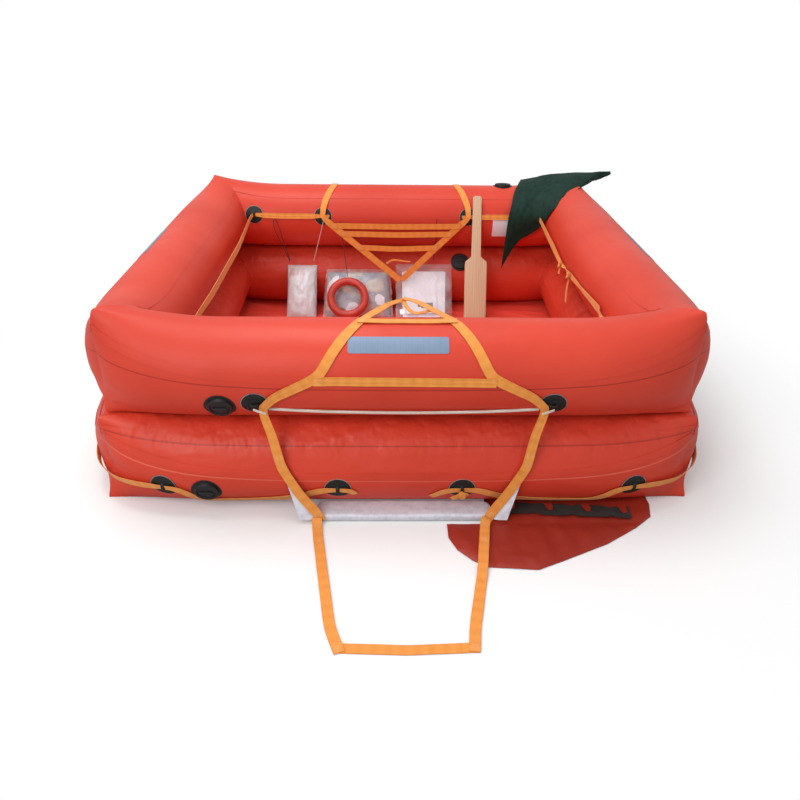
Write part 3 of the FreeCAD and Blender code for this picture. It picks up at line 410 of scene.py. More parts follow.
def addTube(name, ring, node, creases):
    # a torus drawn out into the rectangular tube, with its corner pillows and folds
    stations, around, stretch = [], 112, 36
    for side in range(4):
        shares = [(k / 16) ** 1.3 for k in range(17)]
        middle = int(2 * (runOf(ring, side) - hull["corner"]) / stretch)
        stations += [(side, -1, s, None) for s in shares]
        stations += [(side, 0, 1.0, k / middle) for k in range(1, middle)]
        stations += [(side, 1, s, None) for s in reversed(shares[1:])]
    pickNone()
    bpy.ops.mesh.primitive_torus_add(major_segments=len(stations), minor_segments=around, major_radius=1,
                                     minor_radius=0.2)
    piece = bpy.context.object
    for i, (side, end, share, between) in enumerate(stations):
        run, half = runOf(ring, side), halfOf(ring, side)
        for k in range(around):
            angle = 2 * math.pi * k / around
            weight = (1 - share) ** 2
            out, up = section(ring, weight, angle)
            if end:
                along = end * (run - hull["corner"] * share + out * (1 - share))
            else:
                along = (2 * between - 1) * (run - hull["corner"])
            fold = creases(side, end, share, angle, along)
            c, s = math.cos(angle), math.sin(angle)
            height = max(ring["height"] + up + fold * s, 0.0)
            spot = spin(side) @ Vector((along, -(half + out + fold * c), height))
            piece.data.vertices[i * around + k].co = spot * mm
    pick(piece)
    editAll()
    bpy.ops.mesh.remove_doubles(threshold=0.00005)
    bpy.ops.mesh.normals_make_consistent(inside=False)
    leaveEdit()
    settle(piece, name, coatedRed, [node], smooth=55)
    return piece


def cornerFolds(seed, depth, count):
    # wrinkles that run out of the corner seams and die away along the tube
    def creases(side, end, share, angle, along):
        near = (1 - share) ** 3 if end else 0.0
        if near <= 0:
            return 0.0
        drift = seed + side * 3.1 + end * 1.7
        ripple = math.cos(angle * count + drift + 2.0 * share) * 0.6
        ripple += math.cos(angle * (count * 0.6 + 3) + drift * 2 + 4 * share) * 0.4
        pinch = max(0.0, -math.sin(angle)) if seed < 1 else max(0.0, math.cos(angle) * 0.5 + 0.5)
        return -depth * near * (0.5 + 0.5 * ripple) * (0.35 + 0.65 * pinch) * min(1.0, share * 12)
    return creases


addTube("upperTube", upper, "upper_tube", cornerFolds(0.4, 7.0, 15))
addTube("lowerTube", lower, "lower_tube", cornerFolds(2.3, 5.0, 13))
print("tubes made")


# webbing: a flat ribbon that follows stops on a tube or free points in the air
eye = {"disc": 41.0, "pad": 2.5, "bond": 0.3, "opening": 5.5, "reach": 47.0, "half": 9.5, "gathered": 14.0}
eyeLift = eye["bond"] + eye["pad"] + (eye["opening"] - 2.0) / 2
clearDisc = eye["bond"] * 2 + eye["pad"]
lowAngle, innerAngle, ladderAngle, rungAngle, ladderShift = -14.0, 166.0, -20.0, 11.0, 10.0


def hold(ring, side, along, degrees, width=30.0, lift=1.4, roll=0.0):
    return {"ring": ring, "side": side, "values": (along, degrees, width, lift, roll)}


def free(x, y, z, normal, width=30.0, roll=0.0):
    return {"point": Vector((x, y, z)), "normal": Vector(normal), "width": width, "roll": roll}


def eyeHolds(ring, side, along, degrees, way=1, over=0.0):
    # through an eye, gathered, and flat on the patch before and after it
    edge, half, thin = eye["reach"], eye["half"], eye["gathered"]
    over += clearDisc
    rows = ((-edge, 25, over), (-half, thin, eyeLift), (half, thin, eyeLift), (edge, 25, over))
    return [hold(ring, side, along + way * shift, degrees, width, lift) for shift, width, lift in rows]


def rowAt(mark, values=None):
    if "point" in mark:
        return [mark["point"].copy(), mark["normal"].normalized(), mark["width"], mark["roll"]]
    along, degrees, width, lift, roll = values or mark["values"]
    point = onTube(mark["ring"], mark["side"], along, degrees, lift)
    return [point, outward(mark["side"], degrees), width, roll]


def followRun(stops, step=7.0, ease=10):
    rows = []
    for a, b in zip(stops, stops[1:]):
        same = "ring" in a and "ring" in b and a["ring"] is b["ring"] and a["side"] == b["side"]
        start, end = rowAt(a), rowAt(b)
        length = (end[0] - start[0]).length
        if same:
            turn = math.radians(b["values"][1] - a["values"][1]) * a["ring"]["radius"]
            length = math.hypot(turn, b["values"][0] - a["values"][0])
        count = max(1, round(length / step))
        for k in range(count):
            t = k / count
            if same:
                values = tuple(p + (q - p) * t for p, q in zip(a["values"], b["values"]))
                rows.append({"mark": a, "values": values})
            else:
                row = [start[i].lerp(end[i], t) for i in (0, 1)]
                rows.append({"row": row + [start[i] + (end[i] - start[i]) * t for i in (2, 3)]})
    last = stops[-1]
    rows.append({"mark": last, "values": last["values"]} if "ring" in last else {"row": rowAt(last)})
    for _ in range(ease):
        for i in range(1, len(rows) - 1):
            one, here, after = rows[i - 1], rows[i], rows[i + 1]
            if all("values" in r and r["mark"]["side"] == here.get("mark", {}).get("side")
                   and r["mark"]["ring"] is here["mark"]["ring"] for r in (one, here, after)):
                around = zip(one["values"], here["values"], after["values"])
                here["values"] = tuple((p + 2 * q + r) / 4 for p, q, r in around)
    done = [rowAt(r["mark"], r["values"]) if "values" in r else r["row"] for r in rows]
    for _ in range(ease):
        for i in range(1, len(rows) - 1):
            if "row" in rows[i]:
                done[i][0] = (done[i - 1][0] + done[i][0] * 2 + done[i + 1][0]) / 4
                done[i][1] = (done[i - 1][1] + done[i][1] * 2 + done[i + 1][1]).normalized()
    return done


def gridOf(long, wide):
    # a flat grid and, for each of its points, the row and column that it is in
    pickNone()
    bpy.ops.mesh.primitive_grid_add(x_subdivisions=wide, y_subdivisions=long, size=1)
    piece = bpy.context.object
    cells = [(round((v.co.y + 0.5) * long), round((v.co.x + 0.5) * wide)) for v in piece.data.vertices]
    return piece, cells


def mapGrid(piece, cells, uv):
    layer = piece.data.uv_layers.active or piece.data.uv_layers.new(name="UVMap")
    for loop in piece.data.loops:
        layer.data[loop.index].uv = uv(*cells[loop.vertex_index])


def solid(piece, thickness, offset=1.0):
    modifier = piece.modifiers.new("thickness", "SOLIDIFY")
    modifier.thickness = thickness * mm
    modifier.offset = offset
    modifier.use_even_offset = True
    applyAll(piece)


def rightWay(piece, wanted):
    # turns the faces over if they look away from the wanted direction
    total = sum(f.normal.dot(wanted(f)) * f.area for f in piece.data.polygons)
    if total < 0:
        pick(piece)
        editAll()
        bpy.ops.mesh.flip_normals()
        leaveEdit()


tacks = []  # places of sewn blocks: point, direction, normal, size


def ribbon(name, stops, nodes=(), material=None, slotName="webbing_orange", thick=2.0, full=30.0, wave=0.8,
           sew=(), step=7.0):
    rows = followRun(stops, step)
    wide, long = 10, len(rows) - 1
    piece, cells = gridOf(long, wide)
    ways = [(rows[min(i + 1, long)][0] - rows[max(i - 1, 0)][0]).normalized() for i in range(long + 1)]
    lengths = [0.0]
    for a, b in zip(rows, rows[1:]):
        lengths.append(lengths[-1] + (b[0] - a[0]).length)
    frames = []
    for (point, normal, width, roll), way in zip(rows, ways):
        side = way.cross(normal).normalized()
        up = side.cross(way).normalized()
        angle = math.radians(roll)
        c, s = math.cos(angle), math.sin(angle)
        frames.append((side * c + up * s, up * c - side * s))
    for v, (i, j) in zip(piece.data.vertices, cells):
        point, normal, width, roll = rows[i]
        side, up = frames[i]
        t = j / wide - 0.5
        spare = math.sqrt(max(full * full - width * width, 0.0))
        pleat = min(0.9, 0.16 * spare * 0.5) * (0.5 + 0.5 * math.cos(t * 4 * math.pi))
        shiver = noise.noise(Vector((lengths[i] * 0.011, t * 1.4, len(name)))) * wave
        edge = noise.noise(Vector((lengths[i] * 0.02, 3.7, len(name)))) * 0.4
        v.co = (point + side * (t * width + edge) + up * (pleat + max(shiver, 0.0))) * mm
    mapGrid(piece, cells, lambda i, j: (j / wide - 0.5, lengths[i] * mm))
    ups = [f[1] for f in frames]
    rightWay(piece, lambda f: ups[cells[f.vertices[0]][0]])
    solid(piece, thick)
    for at, size in sew:
        i = min(range(long + 1), key=lambda n: abs(lengths[n] - (at if at >= 0 else lengths[-1] + at)))
        tacks.append((rows[i][0] * mm + frames[i][1] * (thick + 0.2) * mm, ways[i], frames[i][1], size))
    settle(piece, name, material or webOrange, nodes, smooth=50)
    return piece


def copyTo(piece, name, places):
    # copies of one modelled piece, each with its own mesh, joined as one
    copies = []
    for place in places:
        twin = piece.copy()
        twin.data = piece.data.copy()
        bpy.context.collection.objects.link(twin)
        twin.matrix_world = place
        copies.append(twin)
    bpy.data.objects.remove(piece)
    pick(*copies)
    if len(copies) > 1:
        bpy.ops.object.join()
    joined = bpy.context.object
    joined.name = name
    return joined


def choose(piece, test):
    # selects the faces that pass a test, in edit mode
    pick(piece)
    bpy.ops.object.mode_set(mode="EDIT")
    bpy.ops.mesh.select_mode(type="FACE")
    bpy.ops.mesh.select_all(action="DESELECT")
    leaveEdit()
    for face in piece.data.polygons:
        face.select = test(face)
    bpy.ops.object.mode_set(mode="EDIT")


def stepsUp(piece, steps):
    # a turned form: the top face is set in and raised step by step
    top = max(f.center.z for f in piece.data.polygons)
    choose(piece, lambda f: f.center.z > top - 1e-6 and f.normal.z > 0.9)
    for inward, lift in steps:
        bpy.ops.mesh.inset(thickness=inward * mm, depth=lift * mm, use_even_offset=False)
    leaveEdit()


def addDisc(radius, thick, middle, vertices):
    pickNone()
    bpy.ops.mesh.primitive_cylinder_add(vertices=vertices, radius=radius * mm, depth=thick * mm,
                                        location=(0, 0, middle * mm))
    bpy.ops.object.transform_apply(location=True)
    return bpy.context.object


def addBlock(size, middle=(0, 0, 0)):
    pickNone()
    bpy.ops.mesh.primitive_cube_add(size=1, location=[v * mm for v in middle], scale=[v * mm for v in size])
    bpy.ops.object.transform_apply(location=True, scale=True)
    return bpy.context.object


def soften(piece, width, segments):
    bevel = piece.modifiers.new("soften", "BEVEL")
    bevel.width, bevel.segments = width * mm, segments
    bevel.limit_method, bevel.angle_limit = "ANGLE", math.radians(40)
    applyAll(piece)


def joinPieces(pieces, node="", name=""):
    pick(*pieces)
    bpy.ops.object.join()
    joined = bpy.context.object
    joined.name = name or joined.name
    if node:
        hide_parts(node)
    return joined


def wrapOn(piece, radius):
    # bends a flat piece built at the origin round a tube that lies along X under it
    for v in piece.data.vertices:
        r, a = radius * mm + v.co.z, v.co.y / (radius * mm)
        v.co = Vector((v.co.x, r * math.sin(a), r * math.cos(a) - radius * mm))


def addEyePatches(name, node, places, radius, across=False):
    # a webbing patch: a disc with a raised rim, and a moulded bar with its two feet
    disc = addDisc(eye["disc"], 1.0, 0.8, 48)
    stepsUp(disc, [(1.3, 0.3), (1.7, 0.0), (0.8, 0.35), (5, 0.15), (6, 0.1), (5, 0.1), (3, 0.25), (1.2, 0.55),
                   (7, 0.1), (5, 0.0)])
    wrapOn(disc, radius)
    pickNone()
    bpy.ops.mesh.primitive_torus_add(major_segments=40, minor_segments=14, major_radius=11 * mm,
                                     minor_radius=4 * mm, rotation=(0, math.pi / 2, 0),
                                     location=(0, 0, 2.9 * mm))
    loop = bpy.context.object
    loop.scale = (0.66, 1.0, 1.35)
    bpy.ops.object.transform_apply(location=True, rotation=True, scale=True)
    editAll()
    bpy.ops.mesh.bisect(plane_co=(0, 0, 1.5 * mm), plane_no=(0, 0, 1), clear_inner=True, use_fill=True)
    leaveEdit()
    feet = []
    for y in (-12.5, 12.5):
        foot = addBlock((15, 9, 3.0), (0, y, 2.6))
        choose(foot, lambda f: f.normal.z > 0.9)
        bpy.ops.mesh.inset(thickness=1.6 * mm, depth=0.5 * mm)
        leaveEdit()
        feet.append(foot)
    patch = joinPieces([disc, loop] + feet)
    if across:
        loopTurn = Matrix.Rotation(math.pi / 2, 4, "Z")
        for v in patch.data.vertices:
            if math.hypot(v.co.x, v.co.y) < 22 * mm and v.co.z > 1.4 * mm:
                v.co = loopTurn @ v.co
    patch.data.materials.append(patchBlack)
    patch.data.materials.append(rimPale)
    for face in patch.data.polygons:   # the cut edge of the cloth shows pale
        rim = math.hypot(face.center.x, face.center.y) > 39.9 * mm
        face.material_index = int(rim and face.normal.z > 0.3)
    joined = copyTo(patch, name, [seat(*place) for place in places])
    return settle(joined, name, None, [node], smooth=45)


outerPlaces = [(lower, front, a, lowAngle) for a in (-188, 188)]
outerPlaces += [(lower, side, a, lowAngle) for side in (left, right) for a in (-430, 430)]
outerPlaces += [(lower, back, a, lowAngle) for a in (-210, 210)]
outerPlaces += [(lower, side, s * a, lowAngle) for side, a in ((front, 715), (back, 650)) for s in (-1, 1)]
innerPlaces = [(upper, back, s * a, innerAngle) for a in (344, 667) for s in (-1, 1)]
innerPlaces += [(upper, front, a, innerAngle) for a in (-655, 655)]
ladderPlaces = [(upper, front, s * 425 + ladderShift, ladderAngle) for s in (-1, 1)]
ladderPlaces += [(upper, back, s * 330, ladderAngle) for s in (-1, 1)]
addEyePatches("outerLifelinePatches", "outer_lifeline_patches", outerPlaces, lower["radius"])
addEyePatches("innerLifelinePatches", "inner_lifeline_patches", innerPlaces, upper["radius"])
addEyePatches("ladderPatches", "ladder_patches", ladderPlaces, upper["radius"], across=True)
print("patches made")


def mirroredStops(stops):
    flip = {front: front, back: back, left: right, right: left}
    turned = []
    for s in stops:
        if "point" in s:
            point, normal = s["point"] * 1, s["normal"] * 1
            point.x, normal.x = -point.x, -normal.x
            turned.append({**s, "point": point, "normal": normal, "roll": -s["roll"]})
        else:
            along, degrees, width, lift, roll = s["values"]
            turned.append({**s, "side": flip[s["side"]], "values": (-along, degrees, width, lift, -roll)})
    return turned


def edgeOf(ring, side, degrees):
    return runOf(ring, side) + section(ring, 1.0, math.radians(degrees))[0]


def outerLifeline(tail, fall):
    # the right half, from the tied end at the front to the middle of the back
    a, proud = lowAngle, clearDisc + 3.5
    sideEdge, frontEdge = edgeOf(lower, right, a - 4) - 3, edgeOf(lower, front, a - 4) - 3

    def marks(side, *rows):
        return [hold(lower, side, *row) for row in rows]

    def through(side, along, over=0.0):
        return eyeHolds(lower, side, along, a, 1, over)

    stops = marks(front, (188 - tail, a - fall, 20)) + through(front, 188)
    stops += marks(front, (348, -34), (451, -41), (595, -43)) + through(front, 715, 2.5)
    stops += marks(front, (frontEdge, a - 4, 24, proud))
    stops += marks(right, (-sideEdge, a - 4, 24, proud), (-560, a - 6)) + through(right, -430)
    stops += marks(right, (-200, -30), (0, -34), (200, -30)) + through(right, 430)
    stops += marks(right, (560, a - 6), (sideEdge, a - 4, 24, proud))
    stops += marks(back, (-frontEdge, a - 4, 24, proud), (-780, a - 6)) + through(back, -650, 1.1)
    return stops + marks(back, (-430, -30)) + through(back, -210) + marks(back, (-110, a - 5))


outerSewn = {"sew": [(24, 16)], "step": 9}
ribbon("outerLifelineRight", outerLifeline(92, 15), ["outer_lifeline_right"], **outerSewn)
ribbon("outerLifelineLeft", mirroredStops(outerLifeline(52, 9)), ["outer_lifeline_left"], **outerSewn)


def innerLifeline(knots):
    # the right half, from the ladder's patch to the corner and along the side
    reach, tilt = upper["radius"] + eyeLift + 1, math.radians(180 - innerAngle)
    y, height = upper["halfY"] - reach * math.cos(tilt), upper["height"] + reach * math.sin(tilt)
    half = eye["half"]
    stops = [hold(upper, back, -314, innerAngle, eye["gathered"], eyeLift)]
    stops += eyeHolds(upper, back, -344, innerAngle, -1)[1:] + eyeHolds(upper, back, -667, innerAngle, -1)[:3]
    stops += [free(671 + half, y - 4, height, (-0.7, -0.7, 0), 14),
              free(673 + half, y - 30, height - 2, (-1, 0, 0), 20)]
    stops += [free(x, at, height - fall, (-1, 0, 0), width, roll) for x, at, fall, width, roll in knots]
    stops += [free(661 + half, 30 - y, height - 2, (-1, 0, 0), 20),
              free(659 + half, 4 - y, height, (-0.7, 0.7, 0), 14)]
    return stops + eyeHolds(upper, front, 655, innerAngle, -1)[1:3]


rightKnots = [(692, 340, 42, 30, 0), (700, 185, 70, 16, 20), (700, 100, 66, 14, 180), (700, 30, 60, 24, 180),
              (698, -126, 46, 15, 180), (688, -420, 12, 28, 180)]
leftKnots = [(660, 200, 3, 30, 0), (658, -300, 2, 30, 0)]
ribbon("innerLifelineRight", innerLifeline(rightKnots), ["inner_lifeline_right"])
ribbon("innerLifelineLeft", mirroredStops(innerLifeline(leftKnots)), ["inner_lifeline_left"])


def addKnot(name, at, out, size, tails):
    # the webbing's end, knotted on itself
    out = Vector(out).normalized()
    across = out.orthogonal().normalized()
    up = out.cross(across)
    stops = []
    for k in range(19):
        t = 2 * math.pi * k / 18
        swing = across * (math.sin(t) + 1.6 * math.sin(2 * t)) + up * (math.cos(t) - 1.6 * math.cos(2 * t))
        p = Vector(at) + size * (swing + out * (1.5 - math.sin(3 * t)))
        stops.append(free(p.x, p.y, p.z, out, 13))
    ribbon(name, stops, full=13.0, wave=0.3, step=3.0)
    for n, (end, width) in enumerate(tails):
        middle = Vector(at).lerp(Vector(end), 0.5) + out * 4
        run = [free(*at, out, 12), free(*middle, out, width), free(*end, out, width)]
        ribbon(name + "Tail%d" % n, run, wave=0.6)


def strand(facing, *rows):
    # free stops that all face one way: x, y, z and, where it isn't 30, the width
    return [free(*row[:3], facing, *row[3:]) for row in rows]


rearY = upper["halfY"] - upper["radius"] - 15.8
kneeHeight = upper["height"] + (upper["radius"] + eyeLift + 1) * math.sin(math.radians(180 - innerAngle))
addKnot("sideKnot", (697, 185, kneeHeight - 70), (-1, 0, 0.2), 5.5, [((690, 176, kneeHeight - 104), 20)])
addKnot("sideKnotLow", (697, 30, kneeHeight - 60), (-1, 0, 0.2), 5.5, [((694, 22, kneeHeight - 168), 22)])
knotSpot = onTube(lower, front, 190, lowAngle - 2, 12)
addKnot("endKnot", knotSpot, (0, -1, -0.2), 5.5, [((158, knotSpot.y + 6, knotSpot.z - 26), 16)])
ribbon("ladderTail", strand((0, -1, 0.3), (-44, rearY - 30, 258, 8), (-12, rearY - 34, 284, 8),
                            (30, rearY - 34, 272, 7), (72, rearY - 30, 268, 6)), full=8.0, wave=0.2)
apexTail = [free(10, -676, 596, (0, 0, 1), 12), free(20, -722, 590, (0, -0.2, 1), 13),
            free(42, -752, 584, (0, -0.3, 1), 12), free(92, -728, 588, (0, -0.2, 1), 10)]
apexTag = [free(4, -728, 590, (0, -0.2, 1), 14), free(5, -752, 585, (0, -0.3, 1), 14)]
ribbon("apexTail", apexTail, full=13.0, wave=0.5)
ribbon("apexTag", apexTag, material=stepCloth, slotName="step_white", full=15.0, wave=0.4)
for side in (-1, 1):
    place = side * 425 + ladderShift
    tie = strand((0, -1, 0), (place + side * 4, -944, 376, 6), (place - side * 14, -953, 374, 7),
                 (place - side * 32, -950, 366, 6))
    ribbon("patchTie%d" % side, tie, material=cordWhite, slotName="cord_white", full=7.0, wave=0.8)


def frontStrap(side):
    # from the apex over the crest, down the wall to the patch, and on to the step
    place = side * 425 + ladderShift
    bend = place - side * 20
    (tipWidth, tipRoll), (foldWidth, foldRoll) = ((20, 0), (27, 0)) if side > 0 else ((12, 40), (15, 30))
    stops = [free(12 - side * 5, -668, 600 + 1.4 * side, (0, 0.1, 1), tipWidth, tipRoll),
             free(12 + side * 40, -690, 597 + 1.4 * side, (0, 0.1, 1), foldWidth, foldRoll)]
    rows = ((side * 122 + 18, 98), (side * 147 + 18, 80), (side * 200 + 14, 46),
            (side * 243 + ladderShift, rungAngle + 4), (place - side * 56, ladderAngle + 12, 28, 5.5),
            (bend, ladderAngle - 2, 25, 11.5))
    stops += [hold(upper, front, *row) for row in rows]
    return stops + [free(bend + side * 1, -936, 366, (0, -1, -0.1), 25),
                    free(bend - side * 24, -952, 290, (0, -1, -0.05), 28),
                    free(side * 362 + 12, -970, 190, (0, -1, 0)),
                    free(side * 308 + 11, -980, 92, (0, -1, 0.1)),
                    free(side * 262 + 14, -987, 30, (0, -1, 0.4)),
                    free(side * 254 + 14, -991, 8, (0, -1, 0.1))]


for side, word in ((-1, "Left"), (1, "Right")):
    ribbon("frontLadder" + word, frontStrap(side), ["front_ladder_" + word.lower() + "_strap"],
           sew=[(34, 14), (-250, 20), (-228, 20), (-24, 20)])


def rungStops(ring, side, half, degrees, middle, over):
    ends = [(-half - 4, over), (-half + 30, over), (-half + 60, 1.4), (half - 60, 1.4), (half - 30, over),
            (half + 4, over)]
    stops = []
    for a, lift in ends:
        drop = 1.2 if degrees < 50 and a > half - 70 else 0
        stops.append(hold(ring, side, middle + a, degrees - drop, 26, lift))
    return stops


rungEnds = [(12, 20), (-12, 20)]
lowRung = rungStops(upper, front, 252, rungAngle, ladderShift, 4.2)
crestRung = rungStops(upper, front, 140, 88, 18, 3.9)
joinPieces([ribbon("frontRung", lowRung, sew=rungEnds, wave=1.5),
            ribbon("crestRung", crestRung, sew=rungEnds)], "front_ladder_rungs")

veeShift = 26.0
outY = upper["halfY"] - upper["radius"] - 12.8 - 3
topZ = upper["height"] + upper["radius"] * math.sin(math.radians(innerAngle)) - 30
around = 180 / math.pi / upper["radius"]   # degrees for a millimetre round the upper tube


def rearStrap(shift, over):
    # up from the outer patch, over the crest to the inner one, and down to the V
    rows = ((330, ladderAngle - 16 * around, 18, eyeLift), (330, ladderAngle + 14 * around, 18, eyeLift),
            (320, ladderAngle + 49 * around, 26, clearDisc), (290, 90), (334, 140),
            (344, innerAngle - 10, 26, 13.8), (344, innerAngle + 2, 24, 14.8))
    stops = [hold(upper, back, *row) for row in rows]
    return stops + strand((0, -1, 0), (-310, outY, topZ), (shift - 3, outY - 45 - over, 180))


ribbon("rearLadderLeft", rearStrap(veeShift, 2.6), ["rear_ladder_left_strap"], sew=[(-8, 14)])
ribbon("rearLadderRight", mirroredStops(rearStrap(-veeShift, 0)), ["rear_ladder_right_strap"], sew=[(-8, 14)])
rearRungs = [ribbon("rearRungOut", rungStops(upper, back, 314, rungAngle, 0, 5.1), sew=rungEnds)]
for n, share in enumerate((0.03, 0.17, 0.42)):
    half = 310 * (1 - share) + 16 * share + 4
    height, deep, move = topZ + (188 - topZ) * share, outY - 2.6 - 44 * share - 3.5, veeShift * share
    sag = 3.0 + 2 * n
    stops = strand((0, -1, 0), (move - half, deep, height, 26), (move, deep, height - sag, 26),
                   (move + half, deep, height, 26))
    rearRungs.append(ribbon("rearRung%d" % n, stops, sew=[(14, 18), (-14, 18)], full=26.0))
joinPieces(rearRungs, "rear_ladder_rungs")

footHalves = []
for side in (-1, 1):
    place = side * 330
    footHalves.append([hold(upper, back, place, ladderAngle - 21 * around, 18, eyeLift),
                       free(-place + side * 6, upper["halfY"] + 148, upper["height"] - 100, (0, 1, 0), 26),
                       hold(lower, back, place - side * 20, 40), hold(lower, back, place - side * 40, 16)])
footMiddle = [hold(lower, back, -240, 12), hold(lower, back, 240, 12)]
ribbon("rearFootLoop", footHalves[0] + footMiddle + footHalves[1][::-1], ["rear_foot_loop"])

stepY = -990
loopLeft = [free(-252, stepY - 3, 20, (0, -1, 0)), free(-253, stepY - 5, 9, (0, -1, 0.2))]
loopLeft += strand((0, 0, 1), (-250, stepY - 22, 2.6), (-244, -1060, 2.4), (-186, -1400, 2.6),
                   (-156, -1480, 2.8))
loopFoot = strand((0, 0, 1), (-170, -1464, 0.4), (14, -1472, 0.4), (192, -1464, 0.4))
loopRight = strand((0, 0, 1), (178, -1478, 2.8), (188, -1400, 2.6), (222, -1240, 2.6), (230, -1200, 10))
loopRight += [free(258, stepY - 24, 13.5, (0, -0.3, 1)), free(264, stepY - 4, 20, (0, -1, 0.1))]
joinPieces([ribbon("stepLoop", loopLeft, wave=1.6, sew=[(28, 18), (92, 18), (-16, 18)]),
            ribbon("loopFoot", loopFoot, wave=1.6),
            ribbon("loopRight", loopRight, wave=1.6, sew=[(16, 18), (-92, 18), (-28, 18)])],
           "boarding_step_loop")


def addGusset(side, word):
    # a white cloth gore between the strap and the step's end
    top = Vector((side * 366 + 12, -964, 188))
    outer, inner = Vector((side * 316 + 12, -1003, 14)), Vector((side * 252 + 12, -986, 10))
    piece, cells = gridOf(18, 8)
    for v, (i, j) in zip(piece.data.vertices, cells):
        t, u = 0.05 + 0.95 * i / 18, j / 8
        low = outer.lerp(inner, u)
        bulge = math.sin(math.pi * u) * t * 5 + noise.noise(Vector((i * 0.3, j * 0.4, side * 3.0))) * 2
        v.co = (top.lerp(low, t) + Vector((0, 1, 0)) * (7 - bulge)) * mm
    mapGrid(piece, cells, lambda i, j: (j / 8, i / 18))
    rightWay(piece, lambda f: Vector((0, -1, 0)))
    solid(piece, 1.4)
    settle(piece, "stepGore" + word.capitalize(), stepCloth,
           ["boarding_step_" + word + "_stay"])


gasRadius = 55.0
gasBands = []
for along in (-90.75, 90.75):
    a, b = upper["radius"] + gasRadius + 0.3, lower["radius"] + gasRadius + 0.3
    line = Vector((hull["spread"], lower["height"] - upper["height"]))
    share = (a * a - b * b + line.length ** 2) / (2 * line.length)
    line.normalize()
    gasAt = Vector((0, upper["height"])) + line * share
    gasAt += Vector((-line.y, line.x)) * math.sqrt(a * a - share * share)
    stops = [hold(upper, right, along, d) for d in (38, 22)]
    for d in (20, 10, 0, -11):
        out = Vector((math.cos(math.radians(d)), math.sin(math.radians(d)))) * (gasRadius + 1.2)
        stops.append(free(upper["halfX"] + gasAt.x + out.x, along, gasAt.y + out.y, outward(right, d)))
    stops += [hold(lower, right, along, d) for d in (-12, -19)]
    gasBands.append(ribbon("cylinderBand%d" % len(gasBands), stops, material=webBlack,
                           slotName="webbing_black", sew=[(12, 18), (-12, 18)]))
joinPieces(gasBands, "cylinder_bands")
print("webbing made")


# films and labels that lie on the tubes
film = {"lift": 0.5, "thick": 0.6, "ripple": 0.15, "corner": 6.0}


def onWall(name, ring, side, along, degrees, length, width, nodes, material):
    long, wide, corner = int(length / 6), int(width / 4), film["corner"]
    piece, cells = gridOf(long, wide)
    for v, (i, j) in zip(piece.data.vertices, cells):
        x, y = (i / long - 0.5) * length, (j / wide - 0.5) * width
        dx, dy = length / 2 - abs(x), width / 2 - abs(y)
        if dx < corner and dy < corner:   # rounded corners
            away = Vector((corner - dx, corner - dy))
            pull = max(away.length - corner, 0.0)
            x -= math.copysign(pull * away.x / max(away.length, 0.001), x)
            y -= math.copysign(pull * away.y / max(away.length, 0.001), y)
        bump = noise.noise(Vector((x * 0.02, y * 0.03, len(name) * 3.3))) * film["ripple"]
        turn = math.degrees(y / ring["radius"])
        v.co = onTube(ring, side, along + x, degrees + turn, film["lift"] + max(bump, 0)) * mm
    mapGrid(piece, cells, lambda i, j: (j / wide - 0.5, i / long * length * mm))
    rightWay(piece, lambda f: outward(side, degrees))
    solid(piece, film["thick"])
    return settle(piece, name, material, nodes, smooth=40)


for word, side in (("front", front), ("right", right), ("rear", back), ("left", left)):
    onWall(word + "Tape", upper, side, -8 if side == front else 0, 52, 284, 52, [word + "_reflective_tape"],
           tapeSilver)
onWall("blankLabel", upper, back, -505, 186, 84, 90, ["blank_label"], labelWhite)

# overlapping welds: narrow strips of the tubes' own cloth along each side
welds = [(lower, 45, 22, 8.0), (lower, 3, 26, 34.0), (upper, 10, 26, 36.0), (upper, 128, 24, 0.0),
         (lower, 140, 22, 0.0)]   # tube, angle, width, and rise of the angle towards the corners


def addWeld(ring, side, degrees, width, rise):
    reach = edgeOf(ring, side, degrees) - (4 if degrees < 90 else 2)
    count = int(2 * reach / 14)
    piece, cells = gridOf(count, 4)
    for v, (i, j) in zip(piece.data.vertices, cells):
        along = (2 * i / count - 1) * reach
        bow = rise * (abs(along) / reach) ** 3
        turn = math.degrees((j / 4 - 0.5) * width / ring["radius"])
        v.co = onTube(ring, side, along, degrees + bow + turn, 0.15) * mm
    rightWay(piece, lambda f: outward(side, degrees))
    solid(piece, 0.9)
    return piece


strips = []
for ring, degrees, width, rise in welds:
    strips += [addWeld(ring, side, degrees, width, rise) for side in range(4)]
for n, piece in enumerate(strips):
    settle(piece, "weld%d" % n, coatedRed, smooth=40)
joinPieces(strips, name="tubeWelds")
print("tapes and welds made")


# the floor: coated cloth welded under the lower tube, creased where it lies on the ground
floorCloth = {"thick": 1.2, "creases": 11.0, "fold": 6.0, "border": 90.0, "tuck": 42.0, "highest": 15.0}


